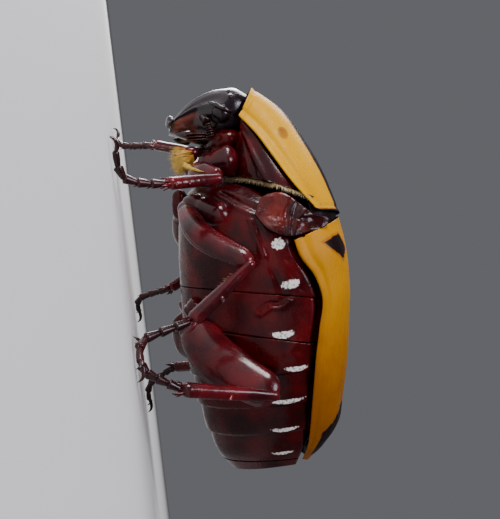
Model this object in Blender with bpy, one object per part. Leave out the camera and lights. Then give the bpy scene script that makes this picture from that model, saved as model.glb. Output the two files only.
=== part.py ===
"""Ornate sun chafer: a flower beetle about 20 mm long, standing still on its six feet.

Lengths in this file are millimetres, and become metres as each mesh is made. The head faces -X,
the back is +Z, the animal's left side is -Y, and the feet rest on Z = 0.
"""

import math

import bmesh
import bpy
from mathutils import Vector

MM = 0.001

# Plates and the sutures between them
GAP = 0.15
SHELL = 0.5
SHELF = 0.12

# Pronotum, from its front edge (0) to its hind edge (1): ridge x, z, then rim x, y, z
PRONOTUM = (
    (0.00, -9.70, 7.40, -7.95, 2.10, 6.30),
    (0.25, -8.35, 8.80, -6.80, 2.90, 6.90),
    (0.50, -6.60, 9.75, -5.45, 3.70, 7.45),
    (0.75, -4.70, 10.45, -4.10, 4.40, 8.05),
    (1.00, -2.65, 10.88, -2.75, 4.75, 8.95),
)
PRONOTUM_SQUARENESS = 2.25
RIM_BEAD = 0.10

# Underside of the prothorax: the throat line x, z below each pronotum station
THROAT = (
    (0.00, -7.00, 6.30),
    (0.25, -6.60, 5.95),
    (0.50, -6.00, 5.60),
    (0.75, -5.10, 5.40),
    (1.00, -3.90, 5.50),
)
CORE_START = 0.05

# Wing case, from its base (0) to its tip (1): seam x, z, then rim x, y, z
WING_CASE = (
    (0.00, -2.42, 10.90, -1.50, 5.10, 7.62),
    (0.10, -1.25, 11.02, -0.70, 5.20, 7.80),
    (0.20, -0.20, 11.02, 0.30, 5.05, 8.40),
    (0.30, 1.10, 10.92, 1.40, 4.95, 8.62),
    (0.42, 2.60, 10.70, 2.70, 4.93, 8.30),
    (0.55, 4.20, 10.42, 4.20, 4.78, 7.98),
    (0.70, 6.10, 10.00, 6.00, 4.30, 7.74),
    (0.82, 7.60, 9.50, 7.40, 3.60, 7.62),
    (0.92, 8.80, 8.85, 8.60, 2.50, 7.58),
    (1.00, 9.70, 8.05, 9.45, 1.15, 7.55),
)
WING_CASE_SQUARENESS = 2.35
SHOULDER_BUMP = (-0.9, 4.3, 9.2, 0.9, 0.22)
TIP_BUMP = (7.6, 2.5, 9.0, 1.0, 0.20)

# Trunk under the wing cases, by x: half-width, side z, belly z
TRUNK = (
    (-4.85, 1.70, 5.20, 3.75),
    (-4.30, 3.10, 6.10, 3.20),
    (-3.30, 4.15, 7.00, 2.92),
    (-1.80, 4.75, 7.40, 2.72),
    (-0.80, 4.90, 7.60, 2.64),
    (0.20, 4.90, 8.10, 2.58),
    (1.50, 4.80, 8.38, 2.52),
    (3.00, 4.75, 8.02, 2.52),
    (5.00, 4.45, 7.66, 2.62),
    (7.00, 3.75, 7.45, 2.95),
    (8.60, 2.55, 7.36, 3.45),
    (9.60, 1.45, 7.15, 4.15),
)
TRUNK_SQUARENESS = 2.15
PLATE_STEP = 0.14
PLATE_EDGES = (4.50, 6.00, 7.42, 8.80)

TRUNK_TOP = (
    (-4.85, 8.60), (-3.00, 9.85), (-1.50, 10.20), (1.10, 10.15), (4.20, 9.65),
    (6.10, 9.20), (7.60, 8.55), (8.80, 7.80), (9.60, 7.32),
)
BREAST_KNOB = (((-3.40, 0.0, 3.20), (-4.20, 0.0, 3.05), (-4.90, 0.0, 3.10)), (0.45, 0.42, 0.35))
WORD = {-1: "left", 1: "right"}

# Slanting cuts, each a point on the midline and how x grows with |y| and with z
NECK_CUT = (-5.10, 5.60, 0.0, 0.52)
COXA_FRONT_CUT = (0.04, 2.50, 0.0, 0.20)
COXA_BACK_CUT = (1.95, 2.50, 0.0, 0.24)
TAIL_CUT = (9.00, 4.00, 0.0, 0.06)

# Plate on the side of the middle body, in front of the shoulder: outline x, y, z
SIDE_PLATE = (
    (-2.89, 4.15, 6.17),
    (-3.65, 4.10, 6.60),
    (-3.72, 4.38, 7.55),
    (-2.98, 4.72, 8.35),
    (-2.62, 4.82, 8.72),
    (-2.35, 4.74, 9.30),
    (-2.04, 4.80, 9.10),
    (-1.88, 4.95, 8.35),
    (-1.76, 5.02, 7.72),
    (-1.86, 4.98, 7.20),
    (-2.21, 4.66, 6.61),
)
SIDE_PLATE_BULGE = 0.28

# Head, from the neck (0) to the front edge of the face (1): face x, z, side x, y, z, throat x, z
HEAD = (
    (0.00, -9.50, 6.98, -8.45, 1.45, 6.52, -7.20, 5.98),
    (0.12, -9.72, 6.60, -8.50, 1.68, 6.05, -7.00, 5.60),
    (0.35, -9.80, 5.80, -8.60, 1.55, 5.30, -6.95, 4.95),
    (0.55, -9.56, 4.85, -8.68, 1.18, 4.55, -7.12, 4.30),
    (0.78, -9.00, 3.92, -8.45, 1.12, 3.75, -7.45, 3.62),
    (1.00, -8.25, 3.10, -8.10, 1.00, 3.02, -7.72, 2.92),
)
HEAD_SQUARENESS = 2.5
EYE_CENTRE = (-8.27, 1.42, 5.55)
EYE_RADIUS = 0.50
LIP = ((-8.30, 0.95, 3.00), 0.15)

# Feeler, chin and brushes of the mouth, for y > 0
FEELER = ((-8.28, 1.30, 4.55), (-7.75, 1.95, 4.75), (-7.05, 2.00, 4.85))
FEELER_RADIUS = 0.25
CLUB_TIP = (-7.15, 1.85, 3.55)
CHIN = ((-6.50, 0.0, 5.75), (-6.70, 0.0, 3.95))
BRUSH_ROOT = (-6.58, 0.70, 3.76)
BRUSH_LOCKS = 5
BRUSH_LENGTH = 1.05
PALP = ((-6.95, 0.95, 3.95), (-7.05, 1.05, 2.95))

# Legs: joints in order, each x, y out from the midline, z. Left and right stand differently.
LEGS = {
    "fore_left": {
        "coxa": ((-5.85, 2.25, 6.00), (-5.70, 1.45, 4.05)),
        "knee": (-4.75, 4.10, 4.75),
        "ankle": (-4.60, 5.35, 2.20),
        "toes": ((-4.68, 5.75, 1.15), (-4.95, 6.00, 0.42), (-5.55, 6.15, 0.24), (-6.05, 6.28, 0.24)),
    },
    "fore_right": {
        "coxa": ((-5.85, 2.25, 6.00), (-5.80, 1.45, 4.05)),
        "knee": (-7.20, 4.10, 5.05),
        "ankle": (-8.15, 4.95, 2.30),
        "toes": ((-8.25, 5.25, 1.20), (-8.40, 5.55, 0.45), (-8.70, 5.95, 0.24), (-9.00, 6.40, 0.24)),
    },
    "mid_left": {
        "coxa": ((-2.80, 3.60, 5.05), (-4.05, 1.50, 3.20)),
        "knee": (-0.72, 6.20, 5.45),
        "ankle": (1.42, 6.40, 2.50),
        "toes": ((1.62, 6.85, 1.40), (1.80, 7.25, 0.52), (2.15, 7.75, 0.24), (2.60, 8.20, 0.24)),
    },
    "mid_right": {
        "coxa": ((-2.80, 3.60, 5.05), (-4.05, 1.50, 3.20)),
        "knee": (-1.30, 6.50, 5.30),
        "ankle": (0.30, 6.95, 2.30),
        "toes": ((0.45, 7.40, 1.25), (0.65, 7.75, 0.45), (1.00, 8.20, 0.24), (1.45, 8.62, 0.24)),
    },
    "hind_left": {
        "coxa": ((0.95, 2.30, 3.50), (1.60, 2.00, 2.75)),
        "knee": (5.12, 6.25, 5.85),
        "ankle": (4.05, 7.10, 1.70),
        "toes": ((3.60, 7.10, 0.98), (3.25, 6.95, 0.45), (2.85, 6.78, 0.24), (2.45, 6.60, 0.24)),
    },
    "hind_right": {
        "coxa": ((0.95, 2.30, 3.50), (1.60, 2.00, 2.75)),
        "knee": (5.20, 6.30, 5.05),
        "ankle": (5.10, 7.25, 1.95),
        "toes": ((5.55, 7.60, 1.15), (5.95, 7.85, 0.46), (6.50, 8.10, 0.24), (7.05, 8.32, 0.24)),
    },
}
# For each pair: half-width across and half-thickness
COXA = {"fore": (0.80, 0.52), "mid": (0.72, 0.60), "hind": (0.70, 0.62)}
THIGH = {"fore": (0.60, 0.42), "mid": (0.62, 0.44), "hind": (1.06, 0.52)}
SHIN = {"fore": (0.42, 0.28), "mid": (0.37, 0.28), "hind": (0.36, 0.30)}
# Thickness direction and outward bend of each thigh, for y > 0
THIGH_FLAT = {"fore": (0.2, 0.5, -0.8), "mid": (-0.35, 0.55, -0.75), "hind": (-0.1, 0.75, -0.65)}
THIGH_BEND = {"fore": (0.0, 0.15, -0.35), "mid": (0.15, 0.55, -0.75), "hind": (0.1, 0.45, -0.65)}
TOE_RADIUS = 0.25
CLAW_LENGTH = 0.65
SHIN_TEETH = {"fore": (0.62, 0.86), "mid": (0.55,), "hind": (0.50,)}
TOOTH = 0.34

MAROON = (0.16, 0.012, 0.018, 1)
BLACK = (0.012, 0.010, 0.012, 1)
YELLOW = (0.86, 0.47, 0.02, 1)
STRAW = (0.80, 0.50, 0.12, 1)


def clear_scene():
    for obj in list(bpy.data.objects):
        bpy.data.objects.remove(obj)


def material(name, colour, roughness=0.3, metallic=0.0):
    """One finish, shared by the pieces that have it."""
    found = bpy.data.materials.get(name)
    if found:
        return found
    made = bpy.data.materials.new(name)
    made.use_nodes = True
    shader = made.node_tree.nodes["Principled BSDF"]
    shader.inputs["Base Color"].default_value = colour
    shader.inputs["Roughness"].default_value = roughness
    shader.inputs["Metallic"].default_value = metallic
    return made


def cuticle():
    return material("maroon_cuticle", MAROON, 0.25)


def dark_cuticle():
    return material("black_cuticle", BLACK, 0.3)


def yellow_cuticle():
    return material("yellow_cuticle", YELLOW, 0.4)


def straw():
    return material("straw_bristle", STRAW, 0.7)


def through(stations, t):
    """The values at t on a smooth curve through stations, each (t, value, value, ...)."""
    last = len(stations) - 1
    first = max(0, min(last - 1, sum(s[0] <= t for s in stations) - 1))
    picked = [stations[max(0, min(last, k))] for k in range(first - 1, first + 3)]
    before, start, end, after = picked
    span = end[0] - start[0]
    f = (t - start[0]) / span
    values = []
    for k in range(1, len(start)):
        leave = (end[k] - before[k]) / (end[0] - before[0]) * span
        arrive = (after[k] - start[k]) / (after[0] - start[0]) * span
        values.append(
            (2 * f**3 - 3 * f**2 + 1) * start[k]
            + (f**3 - 2 * f**2 + f) * leave
            + (3 * f**2 - 2 * f**3) * end[k]
            + (f**3 - f**2) * arrive
        )
    return values


def arch(share, squareness):
    """Share of the half-width and of the height, from the rim (0) to the ridge (1) of an arch."""
    angle = max(0.0, min(1.0, share)) * math.pi / 2
    power = 2 / squareness
    return max(0.0, math.cos(angle)) ** power, max(0.0, math.sin(angle)) ** power


def bump(point, centre, reach, height):
    """Height of a round bump at a point."""
    far = (Vector(point) - Vector(centre)).length / reach
    return height * math.exp(-far * far)


def add_mesh(name, bm, finish):
    """A named object from a bmesh in millimetres, closed and facing out."""
    bmesh.ops.recalc_face_normals(bm, faces=bm.faces)
    if bm.calc_volume(signed=True) < 0:
        bmesh.ops.reverse_faces(bm, faces=bm.faces)
    bmesh.ops.triangulate(bm, faces=bm.faces)
    bmesh.ops.scale(bm, vec=(MM, MM, MM), verts=bm.verts)
    mesh = bpy.data.meshes.new(name)
    bm.to_mesh(mesh)
    bm.free()
    mesh.shade_smooth()
    obj = bpy.data.objects.new(name, mesh)
    bpy.context.scene.collection.objects.link(obj)
    obj.data.materials.append(finish)
    return obj


def wrap(rows, columns, place):
    """A closed bmesh: a grid whose columns run round a ring, with place(along, around) for each point.

    The last column of points repeats the first, so that the ring closes.
    """
    bm = bmesh.new()
    bmesh.ops.create_grid(bm, x_segments=rows, y_segments=columns, size=0.5)
    for vert in bm.verts:
        along, around = vert.co.x + 0.5, vert.co.y + 0.5
        vert.co = place(along, around if around < 0.999 else 0.0)
    bmesh.ops.remove_doubles(bm, verts=bm.verts, dist=1e-5)
    bmesh.ops.holes_fill(bm, edges=[e for e in bm.edges if e.is_boundary], sides=0)
    bmesh.ops.dissolve_degenerate(bm, edges=bm.edges, dist=1e-5)
    return bm


def limb(path, widths, flat, sides, rings, round_off=0.12):
    """A closed bmesh along path, (t, x, y, z) stations, with rounded ends.

    widths are (t, half-width, half-thickness) stations, and flat is the direction of the thickness.
    """
    flat = Vector(flat)

    def place(along, around):
        t = 0.5 - 0.5 * math.cos(math.pi * along)
        centre = Vector(through(path, t))
        ahead = Vector(through(path, min(1.0, t + 0.01))) - Vector(through(path, max(0.0, t - 0.01)))
        across = ahead.cross(flat).normalized()
        thick = across.cross(ahead).normalized()
        half_width, half_thick = through(widths, t)
        near_end = min(t, 1 - t) / round_off
        taper = math.sqrt(max(0.0, 1 - (1 - near_end) ** 2)) if near_end < 1 else 1.0
        angle = 2 * math.pi * around
        return (
            centre
            + across * (half_width * taper * math.cos(angle))
            + thick * (half_thick * taper * math.sin(angle))
        )

    return wrap(rings, sides, place)


def spike(base, tip, radius, sides=5):
    """A closed cone bmesh from base to tip."""
    base, tip = Vector(base), Vector(tip)
    bm = bmesh.new()
    bmesh.ops.create_cone(
        bm, cap_ends=True, segments=sides, radius1=radius, radius2=radius * 0.2,
        depth=(tip - base).length,
    )
    turn = (tip - base).to_track_quat("Z", "Y").to_matrix()
    bmesh.ops.rotate(bm, cent=(0, 0, 0), matrix=turn, verts=bm.verts)
    bmesh.ops.translate(bm, vec=(base + tip) / 2, verts=bm.verts)
    return bm


def keep_largest(obj):
    """Leaves only the closed surface that encloses most in a mesh object."""
    bm = bmesh.new()
    bm.from_mesh(obj.data)
    left, parts = set(bm.verts), []
    while left:
        front = [left.pop()]
        part = set(front)
        while front:
            for edge in front.pop().link_edges:
                for vert in edge.verts:
                    if vert in left:
                        left.discard(vert)
                        part.add(vert)
                        front.append(vert)
        parts.append(part)
    largest = max(parts, key=enclosed)
    scraps = [vert for part in parts if part is not largest for vert in part]
    bmesh.ops.delete(bm, geom=scraps, context="VERTS")
    bm.to_mesh(obj.data)
    bm.free()


def enclosed(verts):
    """The volume inside a closed surface, from its vertices."""
    faces = {face for vert in verts for face in vert.link_faces}
    return abs(sum(f.calc_center_median().dot(f.normal) * f.calc_area() for f in faces)) / 3


def boolean(obj, others, operation):
    """Joins closed bmeshes to an object, or cuts them out of it, with one Boolean."""
    tools = bpy.data.collections.new(obj.name + "_tools")
    bpy.context.scene.collection.children.link(tools)
    for number, other in enumerate(others):
        tool = add_mesh(f"{obj.name}_tool_{number}", other, obj.data.materials[0])
        bpy.context.scene.collection.objects.unlink(tool)
        tools.objects.link(tool)
    step = obj.modifiers.new("boolean", "BOOLEAN")
    step.operation = operation
    step.operand_type = "COLLECTION"
    step.collection = tools
    step.solver = "EXACT"
    bpy.context.view_layer.objects.active = obj
    bpy.ops.object.modifier_apply(modifier=step.name)
    for tool in list(tools.objects):
        bpy.data.objects.remove(tool)
    bpy.data.collections.remove(tools)
    keep_largest(obj)
    obj.data.shade_smooth()
    return obj


def combine(name, base, others, operation, finish):
    """A new object from one bmesh joined with, or cut by, others."""
    return boolean(add_mesh(name, base, finish), others, operation)


def cut(obj, others):
    """Cuts bmeshes out of an object."""
    return boolean(obj, others, "DIFFERENCE")


def slant(cut, side):
    """Point and normal, towards +X, of a slanting cut on one side: +1 is y > 0, -1 is y < 0."""
    x, z, by_y, by_z = cut
    return Vector((x, 0, z)), Vector((1, -by_y * side, -by_z)).normalized()


def cut_off(bm, point, normal, shift=0.0):
    """Removes what lies beyond a plane, moved by shift along its normal, and closes the mesh."""
    geometry = bm.verts[:] + bm.edges[:] + bm.faces[:]
    bmesh.ops.bisect_plane(
        bm, geom=geometry, plane_co=point + normal * shift, plane_no=normal, clear_outer=True
    )
    bmesh.ops.holes_fill(bm, edges=[e for e in bm.edges if e.is_boundary], sides=0)
    return bm


def shell_point(stations, t, depth, squareness, share):
    """A point of one arch of a shell: share runs from its rim (0) to its ridge (1)."""
    wide, high = arch(share, squareness)
    ridge_x, ridge_z, rim_x, rim_y, rim_z = through(stations, t)
    ahead = through(stations, min(1.0, t + 0.02))
    behind = through(stations, max(0.0, t - 0.02))
    slope = Vector((ahead[0] - behind[0], ahead[1] - behind[1])).normalized()
    x = rim_x + (ridge_x + slope.y * depth - rim_x) * high
    z = rim_z + (ridge_z - slope.x * depth - rim_z) * high
    return Vector((x, (rim_y - depth) * wide, z))


def pronotum():
    """The shield behind the head: a domed shell whose rim ends in a raised bead."""
    outer = 0.62

    def place(along, around):
        if around <= outer:
            across, depth = around / outer, 0.0
        else:
            across, depth = (1 - around) / (1 - outer), SHELL
        side = -1 if across < 0.5 else 1
        share = 1 - abs(2 * across - 1)
        point = shell_point(PRONOTUM, along, depth, PRONOTUM_SQUARENESS, share)
        if depth == 0.0:
            point.y += RIM_BEAD * math.exp(-((share / 0.09) ** 2))
        return Vector((point.x, point.y * side, point.z))

    return add_mesh("pronotum", wrap(12, 30, place), yellow_cuticle())


def prothorax_core():
    """The body inside and below the pronotum, as a bmesh."""
    lower = 0.5

    def place(along, around):
        along = CORE_START + (1 - CORE_START) * along
        rim_x, rim_y, rim_z = through(PRONOTUM, along)[2:]
        throat_x, throat_z = through(THROAT, along)
        upper = around > lower
        across = (1 - around) / (1 - lower) if upper else around / lower
        side = -1 if across < 0.5 else 1
        share = 1 - abs(2 * across - 1)
        if upper:
            point = shell_point(PRONOTUM, along, SHELL + 2.0 * GAP, PRONOTUM_SQUARENESS, share)
            return Vector((point.x, point.y * side, point.z))
        wide, deep = arch(share, 1.8)
        return Vector((
            rim_x + (throat_x - rim_x) * deep,
            (rim_y - SHELF) * wide * side,
            rim_z - GAP + (throat_z - rim_z + GAP) * deep,
        ))

    point, normal = slant(NECK_CUT, 1)
    return cut_off(wrap(10, 24, place), point, normal, -GAP / 2)


def wing_case(side):
    """One hard fore wing, from the seam down to its rim, notched behind the shoulder."""
    outer = 0.6

    def place(along, around):
        top = around <= outer
        share = around / outer if top else (1 - around) / (1 - outer)
        point = shell_point(WING_CASE, along, 0.0 if top else SHELL, WING_CASE_SQUARENESS, share)
        if top:
            for *centre, reach, height in (SHOULDER_BUMP, TIP_BUMP):
                point.z += bump(point, centre, reach, height)
        return Vector((point.x, max(point.y, GAP / 2) * side, point.z))

    return wrap(17, 22, place)


def scutellum(grow=0.0):
    """The small triangle between the wing cases, thick enough to part them."""
    half_width, front, back = 1.10 + grow, -2.45 - grow, -0.60 + grow
    top, bottom = 11.12 + grow, 10.35 - grow

    def place(along, around):
        y = half_width * (1 - along) ** 0.8 + 0.02
        angle = 2 * math.pi * (around + 0.125)
        corner_y = max(-1, min(1, 1.5 * math.cos(angle)))
        corner_z = max(-1, min(1, 1.5 * math.sin(angle)))
        return Vector((
            front + (back - front) * along,
            y * corner_y,
            (top + bottom) / 2 + (top - bottom) / 2 * corner_z,
        ))

    return wrap(5, 8, place)


def side_plate(side, grow=0.0):
    """The plate in front of the shoulder: an outline pulled inwards, with a rounded face."""
    outline = [Vector(point) for point in SIDE_PLATE]
    middle = sum(outline, Vector()) / len(outline)
    outline = [p + (p - middle).normalized() * grow for p in outline]
    bm = bmesh.new()
    face = bm.faces.new([bm.verts.new(p) for p in outline])
    pushed = bmesh.ops.extrude_face_region(bm, geom=[face])["geom"]
    verts = [g for g in pushed if isinstance(g, bmesh.types.BMVert)]
    bmesh.ops.translate(bm, vec=(0, -SHELL - grow, 0), verts=verts)
    bmesh.ops.inset_region(bm, faces=[face], thickness=0.22, depth=0.0)
    bmesh.ops.translate(bm, vec=(0, SIDE_PLATE_BULGE * 0.55, 0), verts=face.verts)
    bmesh.ops.inset_region(bm, faces=[face], thickness=0.30, depth=0.0)
    bmesh.ops.translate(bm, vec=(0, SIDE_PLATE_BULGE * 0.45, 0), verts=face.verts)
    for vert in bm.verts:
        vert.co.y *= side
    return bm


def plate_offset(x):
    """How far the belly plates stand in from the hull: each ends in a step over the next."""
    for start, end in zip(PLATE_EDGES, PLATE_EDGES[1:]):
        if start < x <= end:
            return -PLATE_STEP * (1 - (x - start) / (end - start))
    return 0.0


def trunk_rows():
    """The x of each ring of the trunk, with two close together at each plate's edge."""
    rows = [-4.85, -4.6, -4.2, -3.7, -3.1, -2.4, -1.6, -0.8, 0.0, 0.8, 1.6, 2.4, 3.5]
    for start, end in zip(PLATE_EDGES, PLATE_EDGES[1:]):
        rows += [start, start + 0.03, (start + end) / 2]
    return rows + [PLATE_EDGES[-1], 9.1, 9.35, 9.6]


def ridge_height(x):
    """Top of the trunk at x, clear of the wing cases and of the pronotum above it."""
    return through(TRUNK_TOP, x)[0]


def trunk():
    """The whole trunk as a bmesh: a round keel below, and a narrower ridge inside the wing cases."""
    rows = trunk_rows()
    lower = 0.58

    def place(along, around):
        x = rows[round(along * (len(rows) - 1))]
        half_width, side_z, belly_z = through(TRUNK, x)
        upper = around > lower
        across = (1 - around) / (1 - lower) if upper else around / lower
        side = -1 if across < 0.5 else 1
        share = 1 - abs(2 * across - 1)
        if upper:
            wide, high = arch(share, WING_CASE_SQUARENESS)
            y = (half_width - SHELL - 2 * GAP) * wide
            z = side_z + GAP + (ridge_height(x) - side_z - GAP) * high
        else:
            wide, deep = arch(share, TRUNK_SQUARENESS)
            y = (half_width + plate_offset(x)) * wide
            z = side_z + (belly_z - plate_offset(x) - side_z) * deep
        return Vector((x, y * side, z))

    return wrap(len(rows) - 1, 28, place)


def trunk_slice(front_cut, back_cut, half=0):
    """The trunk between two slanting cuts, or one half of it, as a bmesh."""
    bm = trunk()
    for cut, facing in ((front_cut, -1), (back_cut, 1)):
        if cut:
            point, normal = slant(cut, 1)
            cut_off(bm, point, normal * facing, -GAP / 2)
    if half:
        cut_off(bm, Vector((0, 0, 0)), Vector((0, -half, 0)), -GAP / 2)
    return bm


def head_point(t, around):
    """A point of the head: around goes over the face and back under the throat."""
    face_x, face_z, side_x, side_y, side_z, throat_x, throat_z = through(HEAD, t)
    upper = around <= 0.5
    across = around / 0.5 if upper else (1 - around) / 0.5
    side = -1 if across < 0.5 else 1
    wide, high = arch(1 - abs(2 * across - 1), HEAD_SQUARENESS if upper else 2.0)
    end_x, end_z = (face_x, face_z) if upper else (throat_x, throat_z)
    return Vector((
        side_x + (end_x - side_x) * high,
        side_y * wide * side,
        side_z + (end_z - side_z) * high,
    ))


def ball(centre, radius, squash=1.0):
    """A closed round bmesh."""
    bm = bmesh.new()
    bmesh.ops.create_uvsphere(bm, u_segments=14, v_segments=8, radius=radius)
    bmesh.ops.scale(bm, vec=(1, squash, 1), verts=bm.verts)
    bmesh.ops.translate(bm, vec=centre, verts=bm.verts)
    return bm


def mirrored(point, side):
    """A point or direction given for y > 0, put on the asked side."""
    x, y, z = point
    return Vector((x, y * side, z))


def tube(points, radii, sides=8, rings=6, flat=(0, 0, 1), squash=1.0):
    """A closed round-ended bmesh through points, with a radius at each."""
    steps = [k / (len(points) - 1) for k in range(len(points))]
    path = [(t, *p) for t, p in zip(steps, points)]
    widths = [(t, r, r * squash) for t, r in zip(steps, radii)]
    return limb(path, widths, flat, sides, rings, 0.25)


def feeler(side):
    """An antenna: a bent stalk with a club of leaves at its end."""
    bend = [mirrored(p, side) for p in FEELER]
    tip = mirrored(CLUB_TIP, side)
    stalk = tube(bend, [FEELER_RADIUS] * 3, 7, 6)
    leaves = []
    for k in (-1, 0, 1):
        shift = Vector((0.14 * k, 0.0, 0.0))
        leaves.append(tube(
            [bend[-1] + shift, (bend[-1] + tip) / 2 + shift, tip + shift],
            [0.17, 0.30, 0.22], sides=7, rings=5, flat=(1, 0, 0), squash=0.55,
        ))
    return combine("antenna_" + WORD[side], stalk, leaves, "UNION", cuticle())


def chin():
    """The plate under the mouth."""
    front, back = CHIN[1], CHIN[0]
    plate = limb(
        [(0, *back), (1, *front)], [(0, 0.60, 0.24), (0.5, 0.62, 0.26), (1, 0.20, 0.20)],
        (1, 0, 0.15), 10, 7, 0.2,
    )
    return add_mesh("labium", plate, cuticle())


def mouth_brush(side):
    """One maxilla: its lobe, its palp, and a brush of tapering locks."""
    root = mirrored(BRUSH_ROOT, side)
    lobe = tube([root + Vector((0, 0, 0.55)), root, root + Vector((0.02, 0, -0.45))],
                [0.26, 0.34, 0.2], 8, 6, flat=(1, 0, 0))
    locks = []
    for k in range(BRUSH_LOCKS):
        turn = 2 * math.pi * k / BRUSH_LOCKS
        lean = Vector((0.42 * math.cos(turn) + 0.12, 0.34 * math.sin(turn), 0))
        start = root + lean * 0.2
        end = root + lean + Vector((0, 0, -BRUSH_LENGTH + 0.15 * (k % 2)))
        locks.append(tube([start, (start + end) / 2 + lean * 0.1, end], [0.14, 0.11, 0.06], 5, 4,
                          flat=(1, 0, 0)))
    palp = [mirrored(p, side) for p in PALP]
    locks.append(tube([root + Vector((0, 0, 0.35)), *palp], [0.20, 0.17, 0.12], 6, 5, flat=(1, 0, 0)))
    return combine("maxilla_" + WORD[side], lobe, locks, "UNION", straw())


def head():
    """The head, with sockets for the eyes, a turned-up lip, and room for what it carries."""
    lip_end, radius = LIP
    ends = [mirrored(lip_end, s) for s in (-1, 1)]
    middle = (ends[0] + ends[1]) / 2
    lip = tube([ends[0], middle, ends[1]], [radius, radius, radius], 8, 6, flat=(1, 0, 0))
    body = combine("head", wrap(12, 22, head_point), [lip], "UNION", dark_cuticle())
    sockets = [ball(mirrored(EYE_CENTRE, s), EYE_RADIUS + GAP * 0.6, 0.9) for s in (-1, 1)]
    for s in (-1, 1):
        bend = [mirrored(p, s) for p in FEELER]
        sockets.append(tube(bend, [FEELER_RADIUS + GAP * 0.7] * 3, 7, 6))
    return cut(body, sockets)


class Leg:
    """The joints of one leg, in millimetres, on its own side."""

    def __init__(self, name):
        self.name = name
        self.pair, word = name.split("_")
        self.side = -1 if word == "left" else 1
        stance = LEGS[name]
        self.root, self.hip = (mirrored(p, self.side) for p in stance["coxa"])
        self.knee = mirrored(stance["knee"], self.side)
        self.ankle = mirrored(stance["ankle"], self.side)
        self.toes = [mirrored(p, self.side) for p in stance["toes"]]

    def coxa(self, grow=0.0):
        start, end = COXA[self.pair]
        middle = (self.root + self.hip) / 2
        return tube([self.root, middle, self.hip], [start + grow, (start + end) / 2 + grow, end + grow],
                    10, 6)

    def thigh(self, grow=0.0):
        half_width, half_thick = THIGH[self.pair]
        middle = (self.hip + self.knee) / 2 + mirrored(THIGH_BEND[self.pair], self.side)
        path = [(0, *self.hip), (0.5, *middle), (1, *self.knee)]
        widths = [
            (0.0, 0.72 * half_width + grow, 0.85 * half_thick + grow),
            (0.5, half_width + grow, half_thick + grow),
            (1.0, 0.74 * half_width + grow, 0.85 * half_thick + grow),
        ]
        return limb(path, widths, mirrored(THIGH_FLAT[self.pair], self.side), 10, 10)

    def shin(self, grow=0.0):
        half_width, half_thick = SHIN[self.pair]
        out = (self.ankle - self.hip).normalized()
        start = self.knee - (self.ankle - self.knee).normalized() * 0.1
        path = [(0, *start), (1, *self.ankle)]
        widths = [
            (0.0, 0.70 * half_width + grow, 0.95 * half_thick + grow),
            (0.5, 0.90 * half_width + grow, half_thick + grow),
            (1.0, half_width + grow, half_thick + grow),
        ]
        flat = (self.ankle - self.knee).cross(out)
        return limb(path, widths, flat, 8, 7)

    def shin_spines(self):
        """Teeth along the outer edge of the shin, and two spurs at its end."""
        half_width = SHIN[self.pair][0]
        down = (self.ankle - self.knee).normalized()
        flat = down.cross((self.ankle - self.hip).normalized()).normalized()
        edge = flat.cross(down).normalized()
        if edge.dot(self.knee - self.hip) < 0:
            edge = -edge
        spines = []
        for t in SHIN_TEETH[self.pair]:
            root = self.knee.lerp(self.ankle, t) + edge * half_width * 0.6
            spines.append(spike(root, root + edge * TOOTH + down * TOOTH * 0.6, 0.14))
        for turn in (-1, 1):
            root = self.ankle - down * 0.2 + edge * half_width * 0.5 * turn
            spines.append(spike(root, root + down * 0.62 + edge * 0.18 * turn, 0.12))
        return spines

    def toe_joints(self):
        """Six points: the ends of the five tarsal segments."""
        travelled = [0.0]
        points = [self.ankle, *self.toes]
        for near, far in zip(points, points[1:]):
            travelled.append(travelled[-1] + (far - near).length)
        path = [(d / travelled[-1], *p) for d, p in zip(travelled, points)]
        return [Vector(through(path, t)) for t in (0.0, 0.22, 0.42, 0.61, 0.79, 1.0)]

    def toe(self, number, grow=0.0):
        joints = self.toe_joints()
        start, end = joints[number], joints[number + 1]
        overlap = (end - start).normalized() * 0.12
        radius = TOE_RADIUS + grow
        return tube([start - overlap, (start + end) / 2, end + overlap],
                    [radius * 0.85, radius, radius], 7, 3, flat=(0.1, 0.2, 1))

    def claws(self):
        joints = self.toe_joints()
        tip, ahead = joints[-1], (joints[-1] - joints[-2]).normalized()
        across = ahead.cross(Vector((0, 0, 1))).normalized()
        made = []
        for turn in (-1, 1):
            bend = tip + ahead * CLAW_LENGTH * 0.6 + across * 0.30 * turn + Vector((0, 0, 0.10))
            point = tip + ahead * CLAW_LENGTH + across * 0.42 * turn - Vector((0, 0, 0.10))
            made.append(tube([tip - ahead * 0.1, bend, point], [0.15, 0.12, 0.07], 5, 4))
        return made

    def build(self):
        hip, knee, ankle = self.thigh(GAP), self.shin(GAP), self.toe(0, GAP)
        name = "_" + self.name
        cut(add_mesh("coxa" + name, self.coxa(), cuticle()), [hip])
        cut(add_mesh("femur" + name, self.thigh(), cuticle()), [knee])
        shin = combine("tibia" + name, self.shin(), self.shin_spines(), "UNION", cuticle())
        cut(shin, [ankle])
        segments = [self.toe(k) for k in range(1, 5)]
        foot = combine("tarsus" + name, self.toe(0), segments + self.claws(), "UNION", dark_cuticle())
        flatten_sole(foot)


def flatten_sole(obj):
    """Cuts a foot off at the floor, so that it stands on small flats."""
    bm = bmesh.new()
    bm.from_mesh(obj.data)
    cut_off(bm, Vector((0, 0, 0)), Vector((0, 0, -1)))
    bmesh.ops.triangulate(bm, faces=bm.faces)
    bm.to_mesh(obj.data)
    bm.free()


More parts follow.
